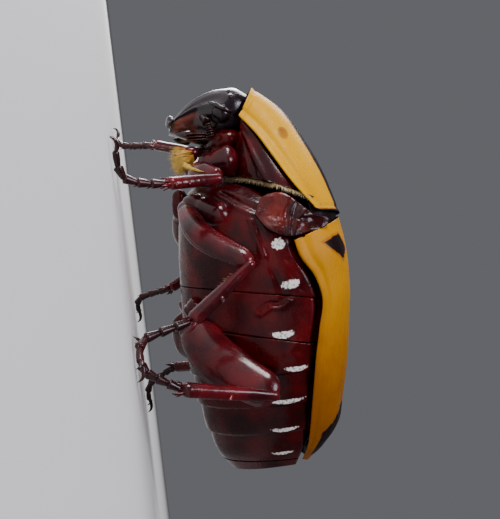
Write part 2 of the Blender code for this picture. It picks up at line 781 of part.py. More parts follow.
def main():
    clear_scene()
    legs = [Leg(name) for name in LEGS]
    for leg in legs:
        leg.build()
    pronotum()
    core = add_mesh("prothorax", prothorax_core(), cuticle())
    cut(core, [leg.coxa(GAP) for leg in legs if leg.pair == "fore"])
    middle = combine(
        "metathorax", trunk_slice(NECK_CUT, COXA_FRONT_CUT), [tube(*BREAST_KNOB, 8, 6)], "UNION",
        cuticle(),
    )
    room = [leg.coxa(GAP) for leg in legs if leg.pair == "mid"]
    room += [leg.thigh(GAP) for leg in legs if leg.pair == "mid"]
    cut(middle, room + [side_plate(s, GAP) for s in (-1, 1)])
    for side in (-1, 1):
        word = "_" + WORD[side]
        cut(add_mesh("wing_case" + word, wing_case(side), yellow_cuticle()), [scutellum(GAP)])
        add_mesh("eye" + word, ball(mirrored(EYE_CENTRE, side), EYE_RADIUS, 0.9), dark_cuticle())
        add_mesh("mesepimeron" + word, side_plate(side), cuticle())
        plate = trunk_slice(COXA_FRONT_CUT, COXA_BACK_CUT, side)
        lower = add_mesh("hind_coxa_plate" + word, plate, cuticle())
        near = [leg for leg in legs if leg.name == "hind" + word]
        cut(lower, [leg.coxa(GAP) for leg in near] + [leg.thigh(GAP) for leg in near])
        feeler(side)
        mouth_brush(side)
    add_mesh("scutellum", scutellum(), dark_cuticle())
    back = add_mesh("abdomen", trunk_slice(COXA_BACK_CUT, TAIL_CUT), cuticle())
    cut(back, [leg.thigh(GAP) for leg in legs if leg.pair == "hind"])
    add_mesh("pygidium", trunk_slice(TAIL_CUT, None), cuticle())
    chin()
    head()


main()
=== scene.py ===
# %% [markdown]
# # Ornate sun chafer
#
# A flower beetle 19.5 mm long, standing on its six feet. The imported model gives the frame: its
# nodes say where everything is, and each cell below makes the detailed piece that stands for some
# of them. Lengths are millimetres until a mesh is finished. The head faces -X, the animal's left
# side is -Y and the floor is Z = 0.

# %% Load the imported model
import math
import random

import bmesh
import bpy
from mathutils import Matrix, Vector, noise


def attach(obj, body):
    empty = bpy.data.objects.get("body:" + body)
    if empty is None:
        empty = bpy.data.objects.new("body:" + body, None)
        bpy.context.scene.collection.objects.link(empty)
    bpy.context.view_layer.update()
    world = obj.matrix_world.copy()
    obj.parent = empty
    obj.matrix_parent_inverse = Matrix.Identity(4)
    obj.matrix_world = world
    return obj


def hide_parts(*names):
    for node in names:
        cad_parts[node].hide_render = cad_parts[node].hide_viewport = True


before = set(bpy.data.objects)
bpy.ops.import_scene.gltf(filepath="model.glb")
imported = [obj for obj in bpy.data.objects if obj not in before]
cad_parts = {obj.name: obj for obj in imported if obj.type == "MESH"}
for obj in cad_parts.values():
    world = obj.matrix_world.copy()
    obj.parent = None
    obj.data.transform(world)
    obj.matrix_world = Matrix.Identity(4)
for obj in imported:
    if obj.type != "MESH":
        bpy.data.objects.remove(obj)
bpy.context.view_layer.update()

MM = 0.001
LEFT, RIGHT = -1, 1
WORD = {LEFT: "left", RIGHT: "right"}
SEED = 20
random.seed(SEED)

# %% [markdown]
# ## Curves
#
# A beetle has no straight edge and no true circle, so its forms are given by a few measured
# sections. A spline object could join them, but a small function of our own can be asked for any
# place on the way, which is what the skins below need. `through` runs a smooth curve between
# sections, and `arch` rounds one between rim and ridge.

# %% Curves
def through(stations, t):
    """The values at t on a smooth curve through stations, each (t, value, value, ...)."""
    last = len(stations) - 1
    first = max(0, min(last - 1, sum(s[0] <= t for s in stations) - 1))
    nearby = (stations[max(0, min(last, k))] for k in range(first - 1, first + 3))
    before, start, end, after = nearby
    span = end[0] - start[0]
    f = (t - start[0]) / span
    values = []
    for k in range(1, len(start)):
        leave = (end[k] - before[k]) / (end[0] - before[0]) * span
        arrive = (after[k] - start[k]) / (after[0] - start[0]) * span
        values.append(
            (2 * f**3 - 3 * f**2 + 1) * start[k]
            + (f**3 - 2 * f**2 + f) * leave
            + (3 * f**2 - 2 * f**3) * end[k]
            + (f**3 - f**2) * arrive
        )
    return values


def arch(share, squareness):
    """Share of the half-width and of the height, from the rim (0) to the ridge (1) of an arch."""
    angle = max(0.0, min(1.0, share)) * math.pi / 2
    power = 2 / squareness
    return max(0.0, math.cos(angle)) ** power, max(0.0, math.sin(angle)) ** power


def there_and_back(around, turn):
    """0 to 1 while around goes from 0 to turn, then back to 0 on the rest of the ring."""
    return around / turn if around <= turn else (1 - around) / (1 - turn)


def side_and_share(across):
    """The side, and the share from rim (0) to ridge (1), of a place on the way across."""
    return (LEFT if across < 0.5 else RIGHT), 1 - abs(2 * across - 1)


# %% [markdown]
# ## Small reliefs
#
# Horny skin is never quite smooth: it has beads, furrows, seams and soft dents. Sculpting would be
# lost with each change of a section, so every relief is a number that a formula gives for a place:
# a hump, a step, the distance to a drawn line, or slow noise.

# %% Small reliefs
def smooth(low, high, value):
    """0 below low, 1 above high, and a smooth step between them."""
    f = max(0.0, min(1.0, (value - low) / (high - low)))
    return f * f * (3 - 2 * f)


def hump(value, centre, reach):
    """A smooth hump of height 1."""
    return math.exp(-(((value - centre) / reach) ** 2))


def near_line(x, z, line):
    """Distance in the side view from a point to a line through points (x, z)."""
    best = math.inf
    for (ax, az), (bx, bz) in zip(line, line[1:]):
        dx, dz = bx - ax, bz - az
        f = max(0.0, min(1.0, ((x - ax) * dx + (z - az) * dz) / (dx * dx + dz * dz)))
        best = min(best, math.hypot(x - ax - f * dx, z - az - f * dz))
    return best


def ruffle(point, size, seed=0.0):
    """Smooth noise between about -1 and 1, with features of the given size in millimetres."""
    return noise.noise(Vector((point[0] / size + seed, point[1] / size, point[2] / size)))


def mirrored(point, side):
    """A point or direction given for y > 0, put on the asked side."""
    return Vector((point[0], point[1] * side, point[2]))


# %% [markdown]
# ## Skins
#
# Each shell is one closed skin. Cubes with a subdivision modifier would need many hand-placed
# edges, so a skin starts as a flat grid from Blender, whose columns are wrapped round a ring by a
# `place` function. The ends are closed by the fill operator. Named values are stored on the points,
# for the materials to read.

# %% Skins
HALF_GRID = 0.5
RING_END = 0.999
TOUCHING = 1e-5
PATH_STEP = 0.01


def wrap(rows, columns, place, marks=None):
    """A closed bmesh: a grid whose columns run round a ring. marks gives each point named values.

    The last column of points repeats the first, so that the ring closes.
    """
    bm = bmesh.new()
    bmesh.ops.create_grid(bm, x_segments=rows, y_segments=columns, size=HALF_GRID)
    keys = marks(0.5, 0.5, place(0.5, 0.5)) if marks else {}
    layers = {key: bm.verts.layers.float.new(key) for key in keys}
    for vert in bm.verts:
        along, around = vert.co.x + HALF_GRID, vert.co.y + HALF_GRID
        around = around if around < RING_END else 0.0
        vert.co = place(along, around)
        if marks:
            for key, value in marks(along, around, vert.co).items():
                vert[layers[key]] = value
    bmesh.ops.remove_doubles(bm, verts=bm.verts, dist=TOUCHING)
    bmesh.ops.holes_fill(bm, edges=[e for e in bm.edges if e.is_boundary], sides=0)
    bmesh.ops.dissolve_degenerate(bm, edges=bm.edges, dist=TOUCHING)
    return bm


def limb(path, widths, flat, sides, rings, round_off=0.12, shape=None):
    """A closed bmesh along path, (t, x, y, z) stations, with rounded ends.

    widths are (t, half-width, half-thickness) stations, flat is the direction of the thickness, and
    shape(t, angle) can swell or pinch the section.
    """
    flat = Vector(flat)

    def place(along, around):
        t = 0.5 - 0.5 * math.cos(math.pi * along)
        centre = Vector(through(path, t))
        next_point = Vector(through(path, min(1.0, t + PATH_STEP)))
        ahead = next_point - Vector(through(path, max(0.0, t - PATH_STEP)))
        across = ahead.cross(flat).normalized()
        thick = across.cross(ahead).normalized()
        half_width, half_thick = through(widths, t)
        near_end = min(t, 1 - t) / round_off
        taper = math.sqrt(max(0.0, 1 - (1 - near_end) ** 2)) if near_end < 1 else 1.0
        angle = 2 * math.pi * around
        swell = taper * (shape(t, angle) if shape else 1.0)
        return (
            centre
            + across * (half_width * swell * math.cos(angle))
            + thick * (half_thick * swell * math.sin(angle))
        )

    return wrap(rings, sides, place)


def tube(points, radii, sides=12, rings=10, flat=(0, 0, 1), squash=1.0, round_off=0.25):
    """A closed round-ended bmesh through points, with a radius at each."""
    steps = [k / (len(points) - 1) for k in range(len(points))]
    path = [(t, *p) for t, p in zip(steps, points)]
    widths = [(t, r, r * squash) for t, r in zip(steps, radii)]
    return limb(path, widths, flat, sides, rings, round_off)


# %% [markdown]
# ## Finished pieces
#
# A piece often holds several closed skins, such as a shin with its teeth. Joined objects would do,
# but bmeshes are lighter: each skin has its faces turned outwards, then all go into one mesh, which
# rides on the body and hides the plain CAD node that it stands for.

# %% Finished pieces
def face_out(bm):
    """Turns the faces of one closed bmesh outwards."""
    bmesh.ops.recalc_face_normals(bm, faces=bm.faces)
    if bm.calc_volume(signed=True) < 0:
        bmesh.ops.reverse_faces(bm, faces=bm.faces)


def gather(*parts):
    """One bmesh holding several closed ones. The parts are freed."""
    whole = bmesh.new()
    for part in parts:
        mesh = bpy.data.meshes.new("part")
        face_out(part)
        part.to_mesh(mesh)
        part.free()
        whole.from_mesh(mesh)
        bpy.data.meshes.remove(mesh)
    return whole


def piece(name, bm, look, nodes=(), facing_known=False):
    """A bmesh in millimetres as a finished object, which rides on the body and replaces nodes."""
    if not facing_known:
        face_out(bm)
    bmesh.ops.scale(bm, vec=(MM, MM, MM), verts=bm.verts)
    mesh = bpy.data.meshes.new(name)
    bm.to_mesh(mesh)
    bm.free()
    mesh.shade_smooth()
    obj = bpy.data.objects.new(name, mesh)
    bpy.context.scene.collection.objects.link(obj)
    obj.data.materials.append(look)
    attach(obj, "root")
    if nodes:
        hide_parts(*nodes)
    print(f"{name}: {len(mesh.polygons)} faces")
    return obj


# %% [markdown]
# ## Material helpers
#
# Node trees are quick to draw by hand and slow to write, so a small class names the few nodes used
# here. Grain reads Object coordinates, which stay put on the animal. Where a pattern follows the
# shape, it reads a value stored on the points: "ink" for black markings, "ochre" for browner
# yellow that is partly painted shade, "groove" for furrows, "chalk" for white bloom, "glow" for
# redder, thinner skin and for painted shade at the front of the hull, and "tip" along a bristle.

# %% Material helpers
# Sockets of a Mix node that mixes colours: factor, first and second colour; and its result
MIX_INPUTS, MIX_RESULT = (0, 6, 7), 2


class Look:
    """A Principled material with small helpers for its nodes."""

    def __init__(self, name):
        self.material = bpy.data.materials.new(name)
        self.material.use_nodes = True
        self.nodes = self.material.node_tree.nodes
        self.links = self.material.node_tree.links
        self.shader = self.nodes["Principled BSDF"]
        self.place = self.nodes.new("ShaderNodeTexCoord").outputs["Object"]

    def feed(self, node, key, value):
        socket = node.inputs[key]
        if isinstance(value, bpy.types.NodeSocket):
            self.links.new(value, socket)
        else:
            socket.default_value = value

    def set(self, **values):
        for key, value in values.items():
            self.feed(self.shader, key.replace("_", " "), value)

    def grain(self, size, detail=3.0, roughness=0.5):
        """Noise with features of the given size in millimetres."""
        node = self.nodes.new("ShaderNodeTexNoise")
        settings = (("Scale", 1 / (size * MM)), ("Detail", detail), ("Roughness", roughness))
        for key, value in settings:
            node.inputs[key].default_value = value
        self.links.new(self.place, node.inputs["Vector"])
        return node.outputs["Fac"]

    def cells(self, size, stretch=(1.0, 1.0, 1.0)):
        """Distance to the nearest of many points, which gives punctures."""
        turn = self.nodes.new("ShaderNodeMapping")
        turn.inputs["Scale"].default_value = stretch
        self.links.new(self.place, turn.inputs["Vector"])
        node = self.nodes.new("ShaderNodeTexVoronoi")
        node.inputs["Scale"].default_value = 1 / (size * MM)
        self.links.new(turn.outputs["Vector"], node.inputs["Vector"])
        return node.outputs["Distance"]

    def value(self, name):
        node = self.nodes.new("ShaderNodeAttribute")
        node.attribute_name = name
        return node.outputs["Fac"]

    def math(self, operation, a, b=0.0, c=0.0):
        node = self.nodes.new("ShaderNodeMath")
        node.operation = operation
        for key, value in enumerate((a, b, c)):
            self.feed(node, key, value)
        return node.outputs[0]

    def step(self, value, low, high, to_low=0.0, to_high=1.0):
        """A smooth step from to_low to to_high while value goes from low to high."""
        node = self.nodes.new("ShaderNodeMapRange")
        node.interpolation_type = "SMOOTHSTEP"
        for key, number in zip(("Value", "From Min", "From Max", "To Min", "To Max"),
                               (value, low, high, to_low, to_high)):
            self.feed(node, key, number)
        return node.outputs["Result"]

    def mix(self, amount, a, b):
        node = self.nodes.new("ShaderNodeMix")
        node.data_type = "RGBA"
        for key, value in zip(MIX_INPUTS, (amount, a, b)):
            if isinstance(value, tuple) and len(value) == 3:
                value = (*value, 1)
            self.feed(node, key, value)
        return node.outputs[MIX_RESULT]

    def bump(self, height, strength, distance, below=None):
        node = self.nodes.new("ShaderNodeBump")
        node.inputs["Strength"].default_value = strength
        node.inputs["Distance"].default_value = distance * MM
        self.links.new(height, node.inputs["Height"])
        if below is not None:
            self.links.new(below, node.inputs["Normal"])
        return node.outputs["Normal"]


# %% [markdown]
# ## Horny skin
#
# The underside and the legs are dark wine red, clouded, finely punctured and as glossy as lacquer.
# A car-paint look would be too even, so roughness changes in slow scuffs, a soft bump breaks the
# reflections, and a thin coat gives the sharp highlights. White bloom is rough and hides the
# colour.

# %% Horny skin
BLOOM_EDGE = (0.13, 0.20)
PUNCTURE_EDGE = (0.05, 0.42)
COAT_ROUGHNESS = 0.16


def cuticle(name, deep, bright, pit=0.16, pit_depth=0.35, roughness=0.24, coat=0.35,
            clouded=1.0, gloss=0.22):
    """Punctured horn.

    pit is the distance between punctures, clouded how much the bright colour shows.
    """
    look = Look(name)
    fine = look.grain(0.12, 2.0)
    clouds = look.step(look.grain(1.6, 4.0), 0.35, 0.68, 0.0, clouded)
    # Raised where the skin is thin and redder, lowered where painted shade darkens it.
    tone = look.math("ADD", clouds, look.value("glow"))
    colour = look.mix(look.math("MINIMUM", tone, 1.0), deep, bright)
    ragged = look.math("ADD", look.value("chalk"), look.math("MULTIPLY_ADD", fine, 0.30, -0.16))
    chalk = look.step(ragged, *BLOOM_EDGE)
    white = look.mix(look.step(fine, 0.36, 0.54), (0.40, 0.33, 0.27), (0.93, 0.91, 0.87))
    scuffed = look.step(look.grain(0.5, 3.0), 0.3, 0.8, roughness * 0.75, roughness * 1.45)
    soft = look.bump(look.grain(0.7, 2.0), 0.35, 0.05)
    look.set(
        Base_Color=look.mix(chalk, colour, white),
        Roughness=look.math("ADD", scuffed, look.math("MULTIPLY", chalk, 0.5)),
        Normal=look.bump(look.step(look.cells(pit), *PUNCTURE_EDGE), pit_depth, 0.02, soft),
        Coat_Weight=coat,
        Coat_Roughness=COAT_ROUGHNESS,
        Specular_IOR_Level=gloss,
    )
    return look.material


MAROON = cuticle("maroon_cuticle", (0.0270, 0.0002, 0.0012), (0.1000, 0.0010, 0.0030),
                 roughness=0.26, coat=0.14, gloss=0.17)
BELLY = cuticle("belly_cuticle", (0.0200, 0.0001, 0.0008), (0.0720, 0.0004, 0.0016),
                roughness=0.22, coat=0.11, gloss=0.15)
BRICK = cuticle("side_plate_cuticle", (0.0220, 0.0004, 0.0010), (0.1200, 0.0060, 0.0030),
                roughness=0.26, coat=0.18)
LEG = cuticle("leg_cuticle", (0.0340, 0.0004, 0.0022), (0.1150, 0.0034, 0.0070),
              pit=0.13, pit_depth=0.25, roughness=0.22, coat=0.3, gloss=0.26)
TOES = cuticle("toe_cuticle", (0.0120, 0.0014, 0.0020), (0.0500, 0.0080, 0.0090),
               pit=0.10, pit_depth=0.25, roughness=0.32)
HEAD_LOOK = cuticle("head_cuticle", (0.0070, 0.0014, 0.0045), (0.2400, 0.0600, 0.0360),
                    pit=0.12, roughness=0.20, coat=0.6, clouded=0.06, gloss=0.40)
FEELER_LOOK = cuticle("feeler_cuticle", (0.0060, 0.0008, 0.0008), (0.0280, 0.0030, 0.0020),
                      pit=0.10, pit_depth=0.2, roughness=0.3, coat=0.2)
# Near-black and dull: the black back in the gap behind the shield, partly painted shade there.
GAP_BLACK_AND_SHADE = cuticle("gap_black_and_shade_cuticle", (0.005, 0.003, 0.003), (0.018, 0.008, 0.008),
                     pit=0.10, pit_depth=0.2, roughness=0.45, coat=0.0, gloss=0.10)

# %% [markdown]
# ## Yellow and black skin
#
# The shield and wing cases are smooth, waxy yellow with black markings. The colour lies under the
# surface, so a little light is let in below it. Markings come from "ink" on the points, whose edge
# is made ragged and browned by noise. A painted image could do it too, but would tie the pattern to
# one size.

# %% Yellow and black skin
FRECKLE = (0.30, 0.10, 0.015)
INK_HALO = (0.26, 0.085, 0.012)
INK_EDGE = 0.03


def painted(name, bright, deep, ink, pit, streaks, edge_blur, freckling):
    """edge_blur is how far, in millimetres, brown and ragged edges reach round the black."""
    look = Look(name)
    # Towards the deep yellow: partly its own browner tone, partly painted shade.
    ochre = look.math("ADD", look.value("ochre"),
                      look.math("MULTIPLY_ADD", look.grain(1.1, 5.0, 0.6), 0.5, -0.25))
    colour = look.mix(look.step(ochre, 0.0, 1.0), bright, deep)
    freckles = look.step(look.grain(0.35, 6.0, 0.75), 0.66, 0.78, 0.0, freckling)
    colour = look.mix(freckles, colour, FRECKLE)
    wobble = look.math("MULTIPLY_ADD", look.grain(0.45, 3.0), edge_blur, -0.5 * edge_blur)
    edge = look.math("ADD", look.value("ink"), wobble)
    colour = look.mix(look.step(edge, -edge_blur, -0.02, 0.0, 0.75), colour, INK_HALO)
    height = look.math("ADD", look.step(look.cells(pit, streaks), 0.05, 0.40), look.value("groove"))
    look.set(
        Base_Color=look.mix(look.step(edge, -INK_EDGE, INK_EDGE), colour, ink),
        Roughness=look.step(look.grain(0.6, 4.0), 0.3, 0.75, 0.30, 0.50),
        Normal=look.bump(height, 0.30, 0.02, look.bump(look.grain(0.10, 2.0), 0.10, 0.01)),
        Specular_IOR_Level=0.07,
        Coat_Weight=0.02,
        Coat_Roughness=0.25,
        Subsurface_Weight=0.04,
        Subsurface_Radius=(0.4 * MM, 0.2 * MM, 0.05 * MM),
    )
    return look.material


SHIELD = painted("shield_yellow", (0.620, 0.310, 0.000), (0.460, 0.180, 0.000),
                 (0.008, 0.005, 0.006), pit=0.22, streaks=(1.0, 1.0, 1.0),
                 edge_blur=0.10, freckling=0.08)
WING = painted("wing_yellow", (0.520, 0.225, 0.000), (0.290, 0.086, 0.000),
               (0.010, 0.004, 0.004), pit=0.26, streaks=(0.45, 1.0, 1.0),
               edge_blur=0.24, freckling=0.30)

# %% [markdown]
# ## Bristles and eyes
#
# A bristle is darker at its root, so the colour runs along "tip". A compound eye is a near-black
# dome under thousands of lenses, too small to model: a fine cell bump keeps their soft, even sheen.

# %% Bristles and eyes
def bristle(name, root, tip):
    look = Look(name)
    along = look.value("tip")
    mottle = look.math("MULTIPLY_ADD", look.grain(0.3), 0.6, -0.3)
    tone = look.math("ADD", along, mottle)
    look.set(
        Base_Color=look.mix(look.step(tone, 0.0, 1.0), root, tip),
        Roughness=0.45,
        Subsurface_Weight=0.15,
        Subsurface_Radius=(0.3 * MM, 0.2 * MM, 0.1 * MM),
    )
    return look.material


def eye_look():
    look = Look("compound_eye")
    blotches = look.step(look.grain(0.4), 0.4, 0.7)
    look.set(
        Base_Color=look.mix(blotches, (0.006, 0.004, 0.005), (0.035, 0.012, 0.012)),
        Roughness=0.24,
        Specular_IOR_Level=0.25,
        Normal=look.bump(look.cells(0.035), 0.35, 0.004),
        Coat_Weight=0.3,
        Coat_Roughness=0.06,
    )
    return look.material


EYE = eye_look()
GOLD = bristle("gold_bristle", (0.60, 0.28, 0.02), (0.92, 0.62, 0.13))
TAN = bristle("tan_bristle", (0.36, 0.23, 0.09), (0.80, 0.64, 0.36))
print("finishes:", ", ".join(sorted(material.name for material in bpy.data.materials)))

# %% [markdown]
# ## Hair
#
# Fringes and brushes on a beetle are stiff, tapering bristles. Blender's hair system makes curves,
# which don't survive as solid mesh, so each bristle is a copy of one three-sided cone, cut in
# thirds so that it can bend. Its UV patch on the map OFBake lies at a place given with its root.

# %% Hair
# Side of a bristle's patch on the map
PATCH = 0.003
BENDS_AT = (0.35, 0.7)
TIP_MERGE = 1e-4
# No bristle points this way, so its two sides can be worked out from it
ASKEW = Vector((0.3, 0.5, 0.8))


def hair_blank():
    """A mesh of one straight bristle of height 1 and radius 1, with its named value and UV map."""
    bm = bmesh.new()
    bmesh.ops.create_cone(bm, cap_ends=True, segments=3, radius1=1, radius2=0, depth=1,
                          matrix=Matrix.Translation((0, 0, 0.5)))
    bmesh.ops.remove_doubles(bm, verts=bm.verts, dist=TIP_MERGE)
    for height in BENDS_AT:
        bmesh.ops.bisect_plane(bm, geom=bm.verts[:] + bm.edges[:] + bm.faces[:],
                               plane_co=(0, 0, height), plane_no=(0, 0, 1))
    bm.verts.layers.float.new("tip")
    bm.loops.layers.uv.new("OFBake")
    mesh = bpy.data.meshes.new("bristle_blank")
    bm.to_mesh(mesh)
    bm.free()
    return mesh


def hair(name, roots, look, thickness=0.022):
    """Bristles as one piece. roots are (start, direction, length, sag, (u, v)) in millimetres."""
    blank = hair_blank()
    bm = bmesh.new()
    for start, direction, length, sag, (u, v) in roots:
        direction = direction.normalized()
        side = direction.cross(ASKEW).normalized()
        other = direction.cross(side)
        bm.from_mesh(blank)
        bm.verts.ensure_lookup_table()
        tip, uv = bm.verts.layers.float["tip"], bm.loops.layers.uv["OFBake"]
        for vert in bm.verts[-len(blank.vertices):]:
            across, over, f = vert.co
            vert[tip] = f
            for loop in vert.link_loops:
                loop[uv].uv = (u + PATCH * f, v + PATCH * (0.5 + 0.5 * across))
            centre = start + (direction + sag * f) * (length * f)
            vert.co = centre + (side * across + other * over) * thickness
    bpy.data.meshes.remove(blank)
    return piece(name, bm, look, facing_known=True)


def jitter(amount):
    """A small seeded shift in each direction."""
    return Vector([random.uniform(-amount, amount) for _ in range(3)])


# %% [markdown]
# ## The arch of a shell
#
# Shield and wing cases are domed shells of one kind: at each station an arch rises from a rim to a
# ridge. Solidify could give them their thickness, but a beetle's shell is thin at its edges, so the
# same ring of points runs over the outer face and back along a lining, which draws in more towards
# the middle.

# %% The arch of a shell
SHELL_THICKNESS = 0.5
# Share of the ring that runs over the outer face
OUTER_FACE = 0.72
SLOPE_STEP = 0.02


def lining_depth(along, share):
    """How far the inner face lies inside the outer one: thin at the edges, closed at the ends."""
    towards_ridge = 0.2 + 0.8 * smooth(0, 0.25, share)
    return SHELL_THICKNESS * towards_ridge * smooth(0, 0.06, along) * smooth(1, 0.94, along)


def shell_point(stations, t, depth, squareness, share):
    """A point of one arch, depth inside it.

    Stations are (t, ridge x, ridge z, rim x, rim y, rim z).
    """
    wide, high = arch(share, squareness)
    ridge_x, ridge_z, rim_x, rim_y, rim_z = through(stations, t)
    ahead = through(stations, min(1.0, t + SLOPE_STEP))
    behind = through(stations, max(0.0, t - SLOPE_STEP))
    slope = Vector((ahead[0] - behind[0], ahead[1] - behind[1])).normalized()
    x = rim_x + (ridge_x + slope.y * depth - rim_x) * high
    z = rim_z + (ridge_z - slope.x * depth - rim_z) * high
    return Vector((x, (rim_y - depth) * wide, z))


# %% [markdown]
# ## Shield
#
# The pronotum slopes down to the head and spans the whole width. A fine bead runs round its rim,
# with a groove inside it. The yellow band on each side is what a black disc and a black hind margin
# leave free.

# %% Shield
PRONOTUM = (
    (0.00, -9.70, 7.40, -7.95, 2.10, 6.30),
    (0.25, -8.35, 8.80, -6.80, 2.90, 6.90),
    (0.50, -6.60, 9.75, -5.45, 3.70, 7.45),
    (0.75, -4.70, 10.45, -4.10, 4.40, 8.05),
    (1.00, -2.60, 10.88, -2.75, 4.75, 8.95),
)
PRONOTUM_SQUARENESS = 2.25
# Height of the line along X from which reliefs are pushed outwards
PRONOTUM_CORE = 7.0
# Where the black disc ends, as (x, y)
DISC_EDGE = ((-9.9, 0.80), (-9.21, 1.10), (-7.06, 2.25), (-4.89, 3.20), (-3.03, 3.75), (-2.4, 3.9))
FLECK, FLECK_RADIUS = (-6.75, 8.20), 0.15


def pronotum_point(along, around):
    side, share = side_and_share(there_and_back(around, OUTER_FACE))
    along = 0.5 - 0.5 * math.cos(math.pi * along) if along < 0.5 else along
    point = shell_point(PRONOTUM, along, 0.0, PRONOTUM_SQUARENESS, share)
    rim = 0.11 * hump(share, 0.0, 0.045) - 0.05 * hump(share, 0.10, 0.035)
    ends = -0.05 * hump(along, 0.035, 0.018) - 0.04 * hump(along, 0.965, 0.015)
    inset = 0.0 if around <= OUTER_FACE else lining_depth(along, share)
    out = Vector((0, point.y, point.z - PRONOTUM_CORE)).normalized()
    point += out * (rim + ends + 0.012 * ruffle(point, 1.3) - inset)
    return mirrored(point, side)


def pronotum_marks(along, around, point):
    share = side_and_share(there_and_back(around, OUTER_FACE))[1]
    x = max(DISC_EDGE[0][0], min(DISC_EDGE[-1][0], point.x))
    disc = through(DISC_EDGE, x)[0] - abs(point.y)
    back = (along - 0.93 - 0.055 * smooth(0.75, 0.45, share)) * 6.6 + max(0.0, 0.05 - share)
    lining = -1.0 if around <= OUTER_FACE else 1.0
    from_fleck = math.hypot((point.x - FLECK[0]) * 0.8, point.z - FLECK[1])
    fleck = 0.06 - abs(from_fleck - FLECK_RADIUS)
    return {
        "ink": max(disc, back, lining, min(fleck, -0.03)),
        # Deeper yellow towards the back of the shield, paler at its rim.
        "ochre": 0.30 * smooth(-7.0, -3.2, point.x) - 0.2 * hump(share, 0.03, 0.06),
        "groove": 0.0,
    }


shield = wrap(110, 190, pronotum_point, pronotum_marks)
piece("pronotum_shell", shield, SHIELD, ["pronotum"])

# %% [markdown]
# ## Waist
#
# Between shield and wing cases the black back of the second segment shows in the gap. Its
# near-black, dull finish is partly painted shade in the gap. It is one more thin arch, a little
# inside both, so that no light falls through where they part.

# %% Waist
WAIST_FRONT, WAIST_BACK = -3.2, -1.2
WAIST_HALF_WIDTH, WAIST_RIM, WAIST_RISE = 4.62, 8.60, 2.12


def waist_point(along, around):
    side, share = side_and_share(there_and_back(around, OUTER_FACE))
    wide, high = arch(share, PRONOTUM_SQUARENESS)
    inset = 0.0 if around <= OUTER_FACE else lining_depth(along, share)
    x = WAIST_FRONT + (WAIST_BACK - WAIST_FRONT) * along
    y, z = (WAIST_HALF_WIDTH - inset) * wide, WAIST_RIM + (WAIST_RISE - inset) * high
    return mirrored((x, y, z), side)


piece("waist", wrap(40, 120, waist_point), GAP_BLACK_AND_SHADE)

# %% [markdown]
# ## Wing cases
#
# Each wing case runs from the seam down to a rim that is notched behind the shoulder. Nine faint
# furrows and a blunt ridge follow its length. The black patches at base, shoulder, seam and tip are
# distances turned to "ink", so their outlines stay crisp however close one looks.

# %% Wing cases
WING_CASE = (
    (0.00, -2.55, 10.88, -1.50, 5.10, 7.62),
    (0.10, -1.25, 11.02, -0.70, 5.20, 7.80),
    (0.20, -0.20, 11.02, 0.30, 5.05, 8.40),
    (0.30, 1.10, 10.92, 1.40, 4.95, 8.62),
    (0.42, 2.60, 10.70, 2.70, 4.93, 8.30),
    (0.55, 4.20, 10.42, 4.20, 4.78, 7.98),
    (0.70, 6.10, 10.00, 6.00, 4.30, 7.74),
    (0.82, 7.60, 9.50, 7.40, 3.60, 7.62),
    (0.92, 8.80, 8.85, 8.60, 2.50, 7.58),
    (1.00, 9.70, 8.05, 9.45, 1.15, 7.55),
)
WING_CASE_SQUARENESS = 2.35
# Shoulder and tip swellings, as x, y, z, reach, height
WING_BUMPS = ((-0.9, 4.3, 9.2, 0.9, 0.22), (7.6, 2.5, 9.0, 1.0, 0.20))
FURROWS = 9
SEAM = 0.02
WING_CORE = 6.5


def furrow(share, sharpness):
    return max(0.0, math.cos(2 * math.pi * FURROWS * share)) ** sharpness


def wing_case(side):
    def place(along, around):
        share = there_and_back(around, OUTER_FACE)
        point = shell_point(WING_CASE, along, 0.0, WING_CASE_SQUARENESS, share)
        for *centre, reach, height in WING_BUMPS:
            point.z += height * math.exp(-((point - Vector(centre)).length / reach) ** 2)
        swell = 0.05 * hump(share, 0.0, 0.03) - 0.035 * hump(share, 0.07, 0.025)
        swell += 0.05 * hump(share, 1.0, 0.02) - 0.03 * hump(share, 0.95, 0.02)
        furrows = 0.022 * furrow(share, 6) * smooth(0.15, 0.35, share) * smooth(1.0, 0.9, share)
        swell -= furrows * smooth(0.05, 0.2, along)
        ridge = 0.07 * hump(share, 0.66, 0.05)
        swell += ridge * smooth(0.35, 0.6, along) * smooth(0.99, 0.85, along)
        swell -= 0.0 if around <= OUTER_FACE else lining_depth(along, share)
        out = Vector((0, point.y, point.z - WING_CORE)).normalized()
        point += out * (swell + 0.015 * ruffle(point, 1.0, 3.0))
        return Vector((point.x, max(point.y, SEAM / 2) * side, point.z))

    def marks(along, around, point):
        x, y, z = point.x, abs(point.y), point.z
        share = there_and_back(around, OUTER_FACE)
        base = 0.30 - along * 6.6 - 1.2 * smooth(1.6, 3.2, y)
        wedge = min(0.08 + 0.62 * (z - 9.22), 0.55, 1.5 * (10.45 - z)) if y > 1.5 else -1.0
        shoulder = wedge - abs(x + 1.12 - 0.25 * (z - 9.6))
        tip = min(0.95 - math.hypot((x - 7.85) / 1.45, (y - 2.05) / 1.3), 4.0 * (share - 0.20))
        seam = 0.20 + 0.35 * smooth(3.0, 7.0, x) - y
        lining = -1.0 if around <= OUTER_FACE else 0.4
        return {
            "ink": max(base, shoulder, tip, seam, lining),
            # Deeper yellow towards the tail and the rim: partly its own browner tone, partly
            # painted shade.
            "ochre": 0.10 + 0.75 * smooth(-0.5, 7.5, x) + 0.25 * hump(share, 0.0, 0.05),
            "groove": -0.5 * furrow(share, 8) * smooth(0.10, 0.35, share),
        }

    name = f"wing_case_{WORD[side]}"
    return piece(name + "_shell", wrap(150, 130, place, marks), WING, [name])


for side in (LEFT, RIGHT):
    wing_case(side)

